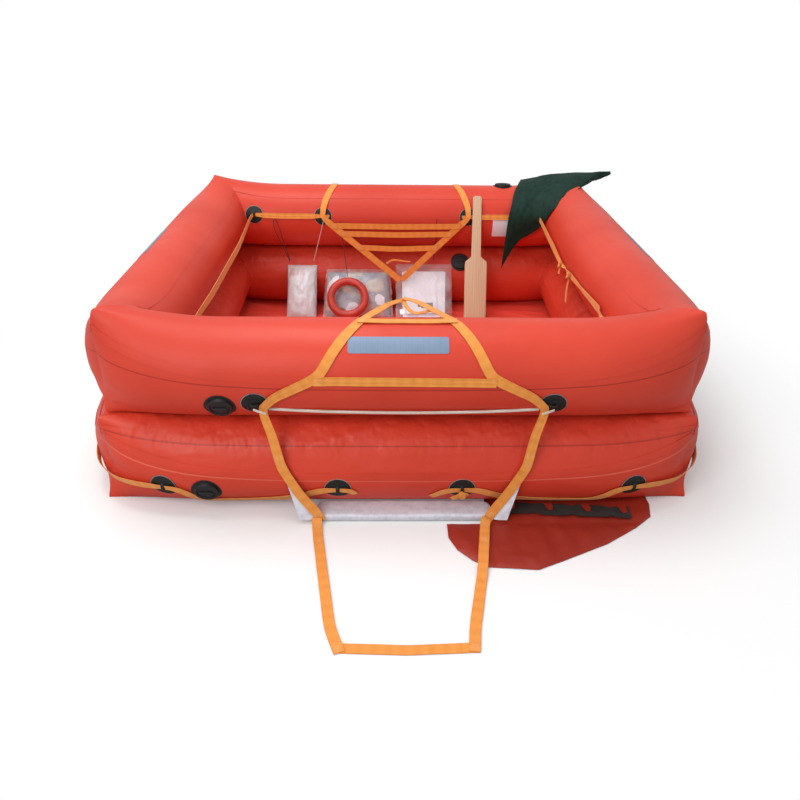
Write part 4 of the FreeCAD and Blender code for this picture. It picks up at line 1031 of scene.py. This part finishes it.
def addFloor():
    reach = math.sqrt(lower["radius"] ** 2 - (lowHeight - 1) ** 2)
    wide, deep = lower["halfX"] - reach, lower["halfY"] - reach
    columns, lines = 190, 176
    piece, cells = gridOf(lines, columns)
    for v, (i, j) in zip(piece.data.vertices, cells):
        x, y = (2 * j / columns - 1) * wide, (2 * i / lines - 1) * deep
        inner = min(1.0, (wide - abs(x)) / floorCloth["border"], (deep - abs(y)) / floorCloth["border"])
        broad = noise.noise(Vector((x * 0.0042, y * 0.0042, 1.7)))
        long = abs(noise.noise(Vector((x * 0.0035 + y * 0.009, y * 0.002, 6.1))))
        small = noise.noise(Vector((x * 0.017, y * 0.017, 3.3)))
        sharp = (max(0.0, 0.32 - long) / 0.32) ** 3
        crease = floorCloth["creases"] * max(broad, 0) + floorCloth["fold"] * sharp
        z = min(1.6 + inner * (crease + 1.6 * (small + 0.5)), floorCloth["highest"])
        # the tubes' corners stand further out, and the cloth follows them
        tuckX, tuckY = (floorCloth["tuck"] * max(0.0, abs(a) - 0.6) / 0.4 for a in (y / deep, x / wide))
        v.co = Vector((x * (1 + tuckX / wide), y * (1 + tuckY / deep), z)) * mm
    mapGrid(piece, cells, lambda i, j: (j / columns, i / lines))
    rightWay(piece, lambda f: skyward)
    solid(piece, floorCloth["thick"], -1.0)
    settle(piece, "floorCloth", floorRed, ["floor_panel"])
    round(2 * wide * mm, 3)
    round(2 * deep * mm, 3)


addFloor()
print("floor made")


# valves
valve = {"radius": 38.0, "height": 9.0, "depth": 6.5, "skirt": 46.0, "cap": 26.2, "grip": (40.0, 7.0, 5.0)}
valvePlaces = {"upper": (upper, front, -517.0, -25.0), "lower": (lower, front, -585.0, -18.0),
               "rear": (upper, back, -521.0, 84.0), "inner": (lower, back, -322.0, 141.0)}


def valveFrame(ring, side, along, degrees):
    normal, ahead = outward(side, degrees), spin(side) @ Vector((1, 0, 0))
    turn = Matrix((ahead, normal.cross(ahead), normal)).transposed().to_4x4()
    return Matrix.Translation(onTube(ring, side, along, degrees) * mm) @ turn


def addValveBody(place, radius):
    skirt = addDisc(valve["skirt"], 1.0, 0.7, 96)   # the glued rubber flange round the valve
    stepsUp(skirt, [(0.6, 0.25), (4, 0.1), (3, 0.1), (5, 0.2), (8, 0), (8, 0), (8, 0), (6, 0)])
    wrapOn(skirt, radius)
    body = addDisc(valve["radius"], 9.5, 2.0, 96)
    stepsUp(body, [(0.5, 0.7), (0.9, 0.7), (1.2, 0.6), (3.2, 0.2), (1.2, -0.1), (2.6, 0.05), (0.5, -0.4),
                   (0.4, -1.5), (0.1, -4.2), (12, 0)])
    body = joinPieces([body, skirt])
    body.matrix_world = place
    return body


def onRidge(face):   # every second face round the cap's edge
    middle = face.center
    return abs(face.normal.z) < 0.1 and round(math.degrees(math.atan2(middle.y, middle.x)) / 5 - 0.5) % 2 == 1


def addValveCap(place):
    seatZ = valve["height"] - valve["depth"] + 0.05
    cap = addDisc(valve["cap"], 4.2, seatZ + 2.1, 72)
    choose(cap, onRidge)
    bpy.ops.mesh.inset(thickness=0.25 * mm, depth=0.8 * mm, use_individual=True)
    leaveEdit()
    stepsUp(cap, [(0.6, 0.5), (1.0, 0.3), (6.5, 0.0), (0.6, -0.7), (9, 0.0)])
    long, wide, high = valve["grip"]
    grip = addBlock((long, wide, high + 1.6), (0, 0, seatZ + 5 + high / 2 - 1.6))
    soften(grip, 1.5, 3)
    cap = joinPieces([cap, grip])
    cap.matrix_world = place
    return cap


bodies = []
for word, (ring, side, along, degrees) in valvePlaces.items():
    place = valveFrame(ring, side, along, degrees)
    bodies.append(addValveBody(place, ring["radius"]))
    settle(addValveCap(place), "valveCap" + word.capitalize(), valveBlack,
           ["valve_cap_" + word], "cap_" + word, 35)
settle(joinPieces(bodies), "valveBodies", valveBlack, ["valve_bodies"], smooth=35)
print("valves made")


# the gas cylinder with its head, inlets and pipes
def addLathe(profile, vertices=48):
    # a profile of (radius, height) turned round Z, from a circle raised ring by ring
    pickNone()
    radius, height = profile[0]
    bpy.ops.mesh.primitive_circle_add(vertices=vertices, radius=radius * mm, fill_type="NGON",
                                      location=(0, 0, height * mm))
    bpy.ops.object.transform_apply(location=True)
    piece = bpy.context.object
    editAll()
    for (r0, h0), (r1, h1) in zip(profile, profile[1:]):
        bpy.ops.mesh.extrude_region_move(TRANSFORM_OT_translate={"value": (0, 0, (h1 - h0) * mm)})
        bpy.ops.transform.resize(value=(r1 / r0, r1 / r0, 1), center_override=(0, 0, h1 * mm))
    bpy.ops.mesh.select_all(action="SELECT")
    bpy.ops.mesh.normals_make_consistent(inside=False)
    leaveEdit()
    return piece


gas = {"length": 330.0, "neck": 14.0, "head": 48.0, "headRadius": 22.0}
gasMiddle = Vector((upper["halfX"] + gasAt.x, 0, gasAt.y))
lie = Matrix.Translation(gasMiddle * mm) @ Matrix.Rotation(-math.pi / 2, 4, "X")


def lieAt(along):
    return Matrix.Translation((0, along * mm, 0)) @ lie


def addGasSet():
    end, headAt = gas["length"], gas["length"] / 2 + gas["neck"] + 0.3
    middle = headAt + gas["head"] / 2
    cylinder = addLathe([(26, 0), (40, 1.5), (46, 6), (50.5, 14), (53.5, 25), (55, 38), (55, end - 60),
                         (53.6, end - 44), (48.5, end - 26), (38, end - 12), (26, end - 4), (16, end),
                         (14, end + 1), (14, end + gas["neck"])], 64)
    cylinder.matrix_world = lieAt(-end / 2)
    settle(cylinder, "gasCylinder", cylinderGrey, ["gas_cylinder"], smooth=40)
    head = addLathe([(17, 0), (19.5, 1), (22, 3), (22, 9), (19.5, 10.5), (19.5, 30), (22, 31.5), (22, 45),
                     (20, 48), (12, 48.2)], 12)
    head.matrix_world = lieAt(headAt)
    settle(head, "operatingHead", headBrass, ["operating_head"], smooth=30)
    inlets, pipes = [], []
    for ring, degrees in ((upper, 6.0), (lower, 10.0)):
        place = valveFrame(ring, right, middle, degrees)
        inlet = addLathe([(17, -6), (17, 5.6), (16, 7), (11, 7.2), (9.4, 8), (9, 12), (9, 24), (7.6, 26),
                          (4, 26)], 36)
        inlet.matrix_world = place
        inlets.append(settle(inlet, "inlet", valveBlack, smooth=35))
        start = (gasMiddle + Vector((0, middle, 0))) * mm
        reach = place @ Vector((0, 0, 18 * mm)) - start
        way, long = reach.normalized(), reach.length / mm - gas["headRadius"] - 9 + 2
        pipe = addLathe([(5, 0), (5, 2), (7.2, 2.2), (7.2, 8), (5, 8.4), (5, long - 8.4), (7.2, long - 8),
                         (7.2, long - 2), (5, long - 1.6), (5, long)], 16)
        turn = way.to_track_quat("Z", "Y").to_matrix().to_4x4()
        pipe.matrix_world = Matrix.Translation(start + way * (gas["headRadius"] - 1) * mm) @ turn
        pipes.append(settle(pipe, "pipe", pipeSteel, smooth=35))
    joinPieces(inlets, "inlet_valves", "inletValves")
    joinPieces(pipes, "inflation_pipes", "inflationPipes")


addGasSet()
print("gas set made")


# stowed gear leans against the rear tubes
def leanFrame(ring, x, place, over=0.0):
    deep, high = ring["halfY"] - place, ring["height"] - 3.3
    angle = math.atan2(high, deep) + math.asin((ring["radius"] + 0.3 + over) / math.hypot(deep, high))
    return Matrix.Translation(Vector((x, place, 3.3)) * mm) @ Matrix.Rotation(angle, 4, "X")


def outlineSolid(outline, thickness, round=1.5, segments=3):
    # a board: a filled outline, raised to its thickness and with its edges rounded
    pickNone()
    bpy.ops.mesh.primitive_circle_add(vertices=len(outline), radius=0.1, fill_type="NGON")
    board = bpy.context.object
    for v, (x, y) in zip(board.data.vertices, outline):
        v.co = Vector((x, y, 0)) * mm
    editAll()
    bpy.ops.mesh.extrude_region_move(TRANSFORM_OT_translate={"value": (0, 0, thickness * mm)})
    bpy.ops.mesh.select_all(action="SELECT")
    bpy.ops.mesh.normals_make_consistent(inside=False)
    leaveEdit()
    soften(board, round, segments)
    return board


oar = {"length": 600.0, "blade": 290.0, "width": 105.0, "handle": 46.0, "thick": 12.0, "shoulder": 34.0}


def addPaddle():
    half, grip, blade, end = oar["width"] / 2, oar["handle"] / 2, oar["blade"], oar["length"]
    rightEdge = [(half * 0.9, 0), (half * 0.97, 4), (half, 14), (half, blade - 10), (half * 0.97, blade)]
    for k in range(1, 8):
        t = k / 8
        rightEdge.append((half + (grip - half) * (3 * t * t - 2 * t ** 3), blade + oar["shoulder"] * t))
    rightEdge += [(grip, blade + oar["shoulder"]), (grip * 0.86, end - 30), (grip * 0.9, end - 12),
                  (grip * 0.75, end - 3), (grip * 0.4, end)]
    board = outlineSolid(rightEdge + [(-x, y) for x, y in reversed(rightEdge)], oar["thick"], 2.2)
    for x in (-half * 0.55, half * 0.55):
        pickNone()
        bpy.ops.mesh.primitive_cylinder_add(vertices=24, radius=2.6 * mm, depth=40 * mm,
                                            location=(x * mm, 16 * mm, 0))
        drill = bpy.context.object
        hole = board.modifiers.new("hole", "BOOLEAN")
        hole.operation, hole.object, hole.solver = "DIFFERENCE", drill, "EXACT"
        applyAll(board)
        bpy.data.objects.remove(drill)
    layer = board.data.uv_layers.active or board.data.uv_layers.new(name="UVMap")
    for loop in board.data.loops:
        co = board.data.vertices[loop.vertex_index].co
        layer.data[loop.index].uv = (co.x, co.y)
    board.matrix_world = leanFrame(upper, 384, 465, 7)
    settle(board, "paddleBoard", woodPale, ["paddle"], smooth=35)


addPaddle()


def addBag(name, width, length, thickness, material, place, nodes, seed, taper=0.0):
    # a filled bag: two cloths welded flat at the rim, fuller and wrinkled in the middle
    bag = addBlock((1000, 1000, 1000))
    bpy.ops.object.mode_set(mode="EDIT")
    bpy.ops.mesh.subdivide(number_cuts=47)
    leaveEdit()
    for v in bag.data.vertices:
        u, w, level = v.co.x * 2, v.co.y * 2, v.co.z + 0.5
        fold = abs(noise.noise(Vector((u * 2.2, w * 2.2, seed)))) * 0.7
        fold += abs(noise.noise(Vector((u * 5.1, w * 5.1, seed * 2)))) * 0.3
        body = (1 - abs(u) ** 2.6) * (1 - abs(w) ** 2.6)
        top = 1.2 + noise.noise(Vector((u * 3, w * 3, seed * 5))) * 0.8
        if max(abs(u), abs(w)) < 1:
            top += (thickness - 2) * body ** 0.55 * (1 - 0.34 * fold)
        narrow = 1 - taper * (w + 1) / 2
        ripple = 1 + 0.02 * noise.noise(Vector((w * 4, u * 4, seed * 3)))
        v.co = Vector((u * width / 2 * narrow * ripple, (w + 1) * length / 2, level * max(top, 1.2))) * mm
    smoother = bag.modifiers.new("smooth", "SMOOTH")
    smoother.factor, smoother.iterations = 0.4, 3
    applyAll(bag)
    bag.matrix_world = place
    settle(bag, name, material, nodes, smooth=70)
    return bag


def recolour(piece, material, test):
    # a second finish on the faces that pass a test
    piece.data.materials.append(material)
    index = len(piece.data.materials) - 1
    for face in piece.data.polygons:
        if test(face):
            face.material_index = index


def within(place, along, height):
    return place @ Matrix.Translation((0, along * mm, height * mm))


packPlace, bagPlace, pouchPlace = (leanFrame(lower, x, 500) for x in (-457, -182, 141))
inner = within(packPlace, 14, 3)
addBag("equipmentPack", 144, 282, 50, packWhite, packPlace, ["equipment_pack"], 4.2)
packCore = addBag("packContents", 126, 252, 42, paperWhite, inner, [], 9.4)
fromPack, fromBag = inner.inverted(), bagPlace.inverted()
recolour(packCore, quoitRed, lambda f: (fromPack @ f.center).y > 0.205 and (fromPack @ f.center).x < 0.01)
addBag("clearBag", 345, 262, 74, filmClear, bagPlace, ["clear_bag"], 2.7, 0.08)
bagInner = within(bagPlace, 12, 4)
bagCore = addBag("bagContents", 316, 232, 62, goodsBeige, bagInner, [], 7.7, 0.06)
recolour(bagCore, goodsGrey, lambda f: noise.noise(fromBag @ f.center * 14) > 0.05)
recolour(bagCore, paperWhite, lambda f: noise.noise(fromBag @ f.center * 11 + Vector((3, 1, 7))) > 0.22)
addBag("documentBag", 276, 290, 28, filmClear, pouchPlace, ["document_bag"], 5.1)


# each sheet: its middle, width and height, turn, and level in the bag
sheets = ((-2, 128, 208, 240, 1.0, 6), (4, 140, 200, 215, -1.5, 11), (-16, 112, 150, 160, 2.0, 16))


def addPapers():
    for n, (x, y, wide, tall, turn, height) in enumerate(sheets):
        piece, cells = gridOf(24, 18)
        about = Matrix.Rotation(math.radians(turn), 3, "Z")
        for v, (i, j) in zip(piece.data.vertices, cells):
            u, w = j / 18 - 0.5, i / 24 - 0.5
            curl = 3.0 * noise.noise(Vector((u * 2, w * 2, n * 4.0))) + 2.0 * (2 * u) ** 4
            v.co = (about @ Vector((u * wide, w * tall, 0)) + Vector((x, y, height + curl * 0.6))) * mm
        rightWay(piece, lambda f: skyward)
        solid(piece, 0.8)
        piece.data.materials.append(paperWhite)
        if n == 2:
            recolour(piece, paperDark, lambda f: -0.035 < f.center.x < 0.04 and 0.062 < f.center.y < 0.088)
        piece.matrix_world = pouchPlace
        settle(piece, "papers%d" % n, None, smooth=40)


addPapers()

quoitRing = {"radius": 82.0, "section": 19.0, "along": 85.0, "level": 93.28}


def addQuoit():
    pickNone()
    bpy.ops.mesh.primitive_torus_add(major_segments=144, minor_segments=36,
                                     major_radius=quoitRing["radius"] * mm,
                                     minor_radius=quoitRing["section"] * mm)
    quoit = bpy.context.object
    hole = (quoitRing["radius"] - quoitRing["section"]) * mm
    for v in quoit.data.vertices:
        turn = math.atan2(v.co.y, v.co.x)
        inward = max(0.0, 1 - (math.hypot(v.co.x, v.co.y) - hole) / (30 * mm))
        pucker = math.sin(turn * 30 + math.sin(turn * 5)) * inward * 0.7 + noise.noise(v.co * 60) * 0.8
        v.co += Vector((math.cos(turn), math.sin(turn), 0)) * pucker * mm
    quoit.matrix_world = within(leanFrame(lower, -227, 500), quoitRing["along"], quoitRing["level"])
    settle(quoit, "rescueQuoit", quoitRed, ["rescue_quoit"], smooth=70)


addQuoit()
print("gear made")


# the boarding step: a padded board in white cloth, and the pocket under the front
step = {"left": -256.0, "right": 282.0, "front": -988.0, "height": 26.0, "slices": 64, "rows": 9}


def cutAcross(piece, places, way):
    # cuts the whole mesh by planes square to one way
    pick(piece)
    bpy.ops.object.mode_set(mode="EDIT")
    for place in places:
        bpy.ops.mesh.select_all(action="SELECT")
        bpy.ops.mesh.bisect(plane_co=[a * place * mm for a in way], plane_no=way)
    leaveEdit()


def addStep():
    lowX, highX, frontY, high = step["left"], step["right"], step["front"], step["height"]
    backY = -(lower["halfY"] + math.sqrt(lower["radius"] ** 2 - (lowHeight - high) ** 2) + 1.5)
    outline = [(lowX, frontY), (highX, frontY), (highX + 2, frontY + 18)]
    for k in range(7):   # the back corners are rounded
        a = math.pi / 2 * k / 6
        outline.append((highX - 34 + 36 * math.cos(a), backY - 30 + 30 * math.sin(a)))
    outline += [(lowX + highX - x, y) for x, y in reversed(outline[2:])]
    pad = outlineSolid(outline, high, 8, 5)
    cutAcross(pad, [lowX + 8.4 * k for k in range(1, step["slices"])], (1, 0, 0))
    cutAcross(pad, [frontY + (backY - frontY) * k / step["rows"] for k in range(1, step["rows"])], (0, 1, 0))
    for v in pad.data.vertices:
        if v.co.z > 3 * mm:
            lift = noise.noise(v.co * 26) * 1.8 + noise.noise(v.co * 80) * 0.8 - 1.2
            v.co.z += lift * mm * min(1.0, v.co.z / (20 * mm))
            v.co.y -= 0.4 * lift * mm
    settle(pad, "boardingStep", stepCloth, ["boarding_step"], smooth=50)


addStep()
addGusset(-1, "left")
addGusset(1, "right")


pocket = {"left": 144, "right": 806, "far": -1199, "mouth": 270, "under": -1000, "tall": 9.5, "hem": 40}


def addPocket():
    near, mouth, under, hem = -(lower["halfY"] + 50), pocket["mouth"], pocket["under"], pocket["hem"]
    outline = [(mouth, near), (mouth, under), (mouth - 120, under), (147, -1070), (166, -1115), (205, -1158),
               (250, -1186), (393, -1197), (470, -1160), (600, -1100), (720, -1020), (781, -968),
               (796, near - 45), (796, near)]
    edges = list(zip(outline, outline[1:] + outline[:1]))
    pickNone()
    bpy.ops.mesh.primitive_grid_add(x_subdivisions=110, y_subdivisions=48, size=1)
    piece = bpy.context.object
    lowX, lowY = pocket["left"], pocket["far"]
    wide, deep = pocket["right"] - lowX, near - lowY
    for v in piece.data.vertices:
        v.co = Vector((lowX + (v.co.x + 0.5) * wide, lowY + (v.co.y + 0.5) * deep, 0)) * mm
    pick(piece)
    bpy.ops.object.mode_set(mode="EDIT")
    for (x0, y0), (x1, y1) in edges[3:]:
        out = Vector((y1 - y0, x0 - x1, 0)).normalized()
        bpy.ops.mesh.select_all(action="SELECT")
        bpy.ops.mesh.bisect(plane_co=(x0 * mm, y0 * mm, 0), plane_no=(-out.x, -out.y, 0), clear_inner=True)
    leaveEdit()
    choose(piece, lambda f: f.center.x < mouth * mm and f.center.y > under * mm or f.center.x < lowX * mm)
    bpy.ops.mesh.delete(type="FACE")
    leaveEdit()
    for v in piece.data.vertices:
        x, y = v.co.x / mm, v.co.y / mm
        gaps = [abs((x - x0) * (y1 - y0) - (y - y0) * (x1 - x0)) / math.hypot(x1 - x0, y1 - y0)
                for (x0, y0), (x1, y1) in edges]
        inside = min(gaps + [hem]) / hem
        fold = 1 - 0.35 * abs(noise.noise(Vector((x * 0.012 + y * 0.006, y * 0.02, 2.2))))
        hang = 0.72 + 0.6 * noise.noise(Vector((x * 0.022 + y * 0.004, y * 0.004, 8.1)))
        swell = pocket["tall"] * inside ** 0.6 * fold * hang
        v.co.z = (2.0 + swell + noise.noise(Vector((x, y, 0)) * 0.03) * 1.2) * mm
    rightWay(piece, lambda f: skyward)
    solid(piece, 1.5, -1.0)
    settle(piece, "ballastPocket", pocketRed, ["ballast_pocket"])


addPocket()


def addPocketBand():
    # a wide black strip sewn on the pocket's mouth, its edges gathered by red tabs
    start, end = Vector((300, -936, 0)), Vector((716, -962, 0))
    piece, cells = gridOf(90, 8)
    way = (end - start).normalized()
    side = Vector((way.y, -way.x, 0))
    for v, (i, j) in zip(piece.data.vertices, cells):
        t, u = i / 90, j / 8 - 0.5
        gather = 1 - 0.25 * max(0.0, math.cos(t * 2 * math.pi * 3.5)) ** 3
        width = 54 * gather + 8 * noise.noise(Vector((t * 9, u, 1.1)))
        lift = 2.5 * noise.noise(Vector((t * 14, u * 2, 5.5)))
        v.co = (start.lerp(end, t) + side * (u * width) + Vector((0, 0, 13.6 + max(lift, 0)))) * mm
    mapGrid(piece, cells, lambda i, j: (j / 8 - 0.5, i / 90 * 0.42))
    rightWay(piece, lambda f: skyward)
    solid(piece, 1.6)
    settle(piece, "pocketBand", webBlack, ["ballast_pocket_band"], smooth=50)
    for n, t in enumerate((0.12, 0.4, 0.68, 0.95)):
        at = start.lerp(end, t)
        stops = strand((0, 0, 1), (at.x, at.y + 26, 17.5, 26), (at.x + 2, at.y + 8, 18.5, 22),
                       (at.x + 3, at.y - 8, 17.5, 14))
        ribbon("pocketTab%d" % n, stops, material=pocketRed, slotName="coated_red", full=22, wave=0.2)


addPocketBand()
print("step and pocket made")

# lines across the drogue's cloth, each from its rear edge to its hanging edge
drogueFolds = (
    ((1073, 930, 626), (1074, 928, 624), (1075, 926, 621), (1076, 924, 618), (1076, 923, 615),
     (1077, 922, 612)),
    ((1014, 900, 632), (1012, 896, 626), (1010, 893, 618), (1008, 890, 610), (1007, 888, 602),
     (1006, 886, 595)),
    ((955, 866, 634), (948, 830, 626), (935, 795, 614), (925, 768, 602), (912, 742, 608), (900, 722, 612)),
    ((887, 850, 637), (858, 785, 630), (812, 690, 603), (790, 650, 584), (765, 615, 562), (737, 587, 534)),
    ((748, 842, 629), (722, 780, 610), (698, 721, 584), (670, 660, 538), (677, 626, 484), (681, 628, 425)),
    ((680, 840, 615), (655, 778, 604), (630, 718, 578), (605, 655, 532), (590, 620, 468), (585, 626, 355)),
    ((612, 838, 603), (590, 776, 596), (564, 715, 571), (545, 652, 524), (530, 618, 460), (514, 604, 233)),
)


def alongCurve(points, t):
    # a point on a smooth curve through the given ones, t from 0 to 1
    span = t * (len(points) - 1)
    i = min(int(span), len(points) - 2)
    u = span - i
    p1, p2 = points[i], points[i + 1]
    p0 = points[i - 1] if i else p1 * 2 - p2
    p3 = points[i + 2] if i + 2 < len(points) else p2 * 2 - p1
    bend, twist = p0 * 2 - p1 * 5 + p2 * 4 - p3, p1 * 3 - p0 - p2 * 3 + p3
    return (p1 * 2 + (p2 - p0) * u + bend * u * u + twist * u ** 3) / 2


def addDrogue():
    folds = [[Vector(p) for p in fold] for fold in drogueFolds]
    long, wide = 72, 60
    piece, cells = gridOf(long, wide)
    for v, (i, j) in zip(piece.data.vertices, cells):
        across = [alongCurve(fold, j / wide) for fold in folds]
        p = alongCurve(across, i / long)
        hang = max(0.0, j / wide - 0.25)
        pleat = math.sin(i * 0.55 + 1.3 * math.sin(j * 0.08)) * 2.6 * hang
        pleat += noise.noise(Vector((i * 0.12, j * 0.10, 4.4))) * 2.2
        v.co = (p + Vector((-0.45, -0.5, 0.74)) * (0.8 + abs(pleat))) * mm
    mapGrid(piece, cells, lambda i, j: (j / wide * 0.4, i / long * 0.6))
    rightWay(piece, lambda f: Vector((-0.4, -0.5, 0.75)))
    solid(piece, 1.2)
    settle(piece, "drogueCloth", drogueGreen, ["drogue"], smooth=70)


addDrogue()
print("drogue made")


# cords, each on the route of its solid
def addCord(name, diameter, material, node, points):
    bpy.ops.curve.primitive_nurbs_path_add()
    cord = bpy.context.object
    cord.data.splines.remove(cord.data.splines[0])
    spline = cord.data.splines.new("NURBS")
    spline.points.add(len(points) - 1)
    for point, (x, y, z) in zip(spline.points, points):
        point.co = (x, y, z, 1)
    spline.order_u = 3
    spline.use_endpoint_u = True
    cord.data.resolution_u = 8
    cord.data.bevel_depth = diameter / 2
    cord.data.bevel_resolution = 4
    cord.data.use_fill_caps = True
    cord.matrix_world = Matrix.Identity(4)
    cord.name = name
    cord.data.materials.append(material)
    if node:
        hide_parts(node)
    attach(cord, "raft")


wall = -(upper["halfY"] + 155 * math.cos(math.radians(32))) * mm
lashLine = [(-0.379, 0.002, 0.366), (-0.2793, 0, 0.3606), (-0.1967, 0, 0.3576), (-0.114, 0, 0.3556),
            (-0.0313, 0, 0.3547), (0.0513, 0, 0.3547), (0.134, 0, 0.3556), (0.2167, 0, 0.3576),
            (0.2993, 0, 0.3606), (0.399, 0.002, 0.366)]
addCord("ladderLashing", 0.009, cordWhite, "ladder_lashing",
        [(x, wall + y, z) for x, y, z in lashLine])
cordRoutes = {
    "quoitCord": (cordBlack, "cord_black", "quoit_cord", [
        (-0.262, 0.6317, 0.455), (-0.258, 0.6295, 0.415), (-0.253, 0.6254, 0.372), (-0.246, 0.606, 0.322),
        (-0.238, 0.58, 0.268), (-0.229, 0.55, 0.209)]),
    "packCord": (cordWhite, "cord_white", "pack_cord", [
        (-0.338, 0.6293, 0.466), (-0.35, 0.6316, 0.4219), (-0.362, 0.634, 0.3787), (-0.374, 0.6363, 0.3365),
        (-0.386, 0.6387, 0.2953), (-0.398, 0.641, 0.255)]),
    "packTie": (cordBlack, "cord_black", "", [
        (-0.513, 0.641, 0.252), (-0.54, 0.637, 0.33), (-0.572, 0.632, 0.40), (-0.578, 0.6293, 0.452),
        (-0.566, 0.6285, 0.468), (-0.55, 0.630, 0.42), (-0.532, 0.635, 0.34), (-0.512, 0.640, 0.258)]),
    "bagTie": (cordBlack, "cord_black", "", [
        (0.194, 0.6293, 0.468), (0.196, 0.632, 0.40), (0.193, 0.637, 0.33), (0.186, 0.641, 0.262)])}
for name, (material, slotName, node, points) in cordRoutes.items():
    addCord(name, 0.003, material, node, points)
print("cords made")


def addTacks():
    # sewn blocks: one stitch, repeated in rows and lines, and copied to each place
    stitch = addBlock((3.4, 0.9, 0.7))
    soften(stitch, 0.25, 1)
    for offset, count in (((4.2 * mm, 0, 0), 5), ((0, 4.6 * mm, 0), 5)):
        rows = stitch.modifiers.new("rows", "ARRAY")
        rows.use_relative_offset = False
        rows.use_constant_offset = True
        rows.constant_offset_displace = offset
        rows.count = count
    applyAll(stitch)
    middle = Vector((8.4, 9.2, 0)) * mm
    for v in stitch.data.vertices:
        v.co -= middle
    places = []
    for point, way, normal, size in tacks:
        side = normal.cross(way).normalized()
        turn = Matrix((way, side, way.cross(side))).transposed().to_4x4()
        places.append(Matrix.Translation(point) @ turn @ Matrix.Scale(size / 22, 4))
    settle(copyTo(stitch, "webStitching", places), "webStitching", threadPale, smooth=0)


addTacks()
print("stitches made", len(tacks))


# floor, backdrop and light
def directRays(tree):
    # 1 for what the camera sees, straight or through clear film
    path, either = tree.nodes.new("ShaderNodeLightPath"), tree.nodes.new("ShaderNodeMath")
    either.operation = "MAXIMUM"
    for i, ray in enumerate(("Is Camera Ray", "Is Transmission Ray")):
        tree.links.new(path.outputs[ray], either.inputs[i])
    return either.outputs[0]


def addGround():
    bpy.ops.mesh.primitive_plane_add(size=40, location=(0, 0, -0.0005))
    ground = bpy.context.object
    ground.name = "studioFloor"
    paint = Paint("studioFloor", Roughness=0.9)
    tree = paint.tree
    x, y, z = paint.split(paint.spot())
    away = ((x * x + (y + 0.15) * (y + 0.15)) ** 0.5).ramp(1.15, 1.9)
    bright = Value(paint, directRays(tree))
    glow, shown = tree.nodes.new("ShaderNodeEmission"), tree.nodes.new("ShaderNodeMixShader")
    paint.set(Base_Color=paint.mixed(bright, (0.42, 0.40, 0.40), (0.90, 0.90, 0.905)))
    paint.join(bright * (away * 0.9 + 0.1).smaller(1), shown.inputs[0])
    tree.links.new(paint.shader.outputs[0], shown.inputs[1])
    tree.links.new(glow.outputs[0], shown.inputs[2])
    tree.links.new(shown.outputs[0], tree.nodes["Material Output"].inputs[0])
    ground.data.materials.append(paint.material)


def addWorld(strength):
    world = bpy.data.worlds.new("studio")
    scene.world = world
    world.use_nodes = True
    tree = world.node_tree
    plain, seen = tree.nodes["Background"], tree.nodes.new("ShaderNodeBackground")
    plain.inputs[0].default_value = seen.inputs[0].default_value = (1, 1, 1, 1)
    plain.inputs[1].default_value = strength
    blend = tree.nodes.new("ShaderNodeMixShader")
    for i, socket in enumerate((directRays(tree), plain.outputs[0], seen.outputs[0])):
        tree.links.new(socket, blend.inputs[i])
    tree.links.new(blend.outputs[0], tree.nodes["World Output"].inputs[0])


def addLamp(name, place, aim, size, power):
    bpy.ops.object.light_add(type="AREA", location=place)
    lamp = bpy.context.object
    lamp.name = name
    lamp.data.size = size
    lamp.data.energy = power
    lamp.rotation_euler = (Vector(aim) - Vector(place)).to_track_quat("-Z", "Y").to_euler()


addGround()
addWorld(0.66)
addLamp("overhead", (-0.9, 0.2, 4.2), (0, 0, 0.2), 2.6, 88)
addLamp("frontSoft", (-2.2, -3.6, 2.9), (0, 0, 0.2), 2.4, 78)
print("studio made")
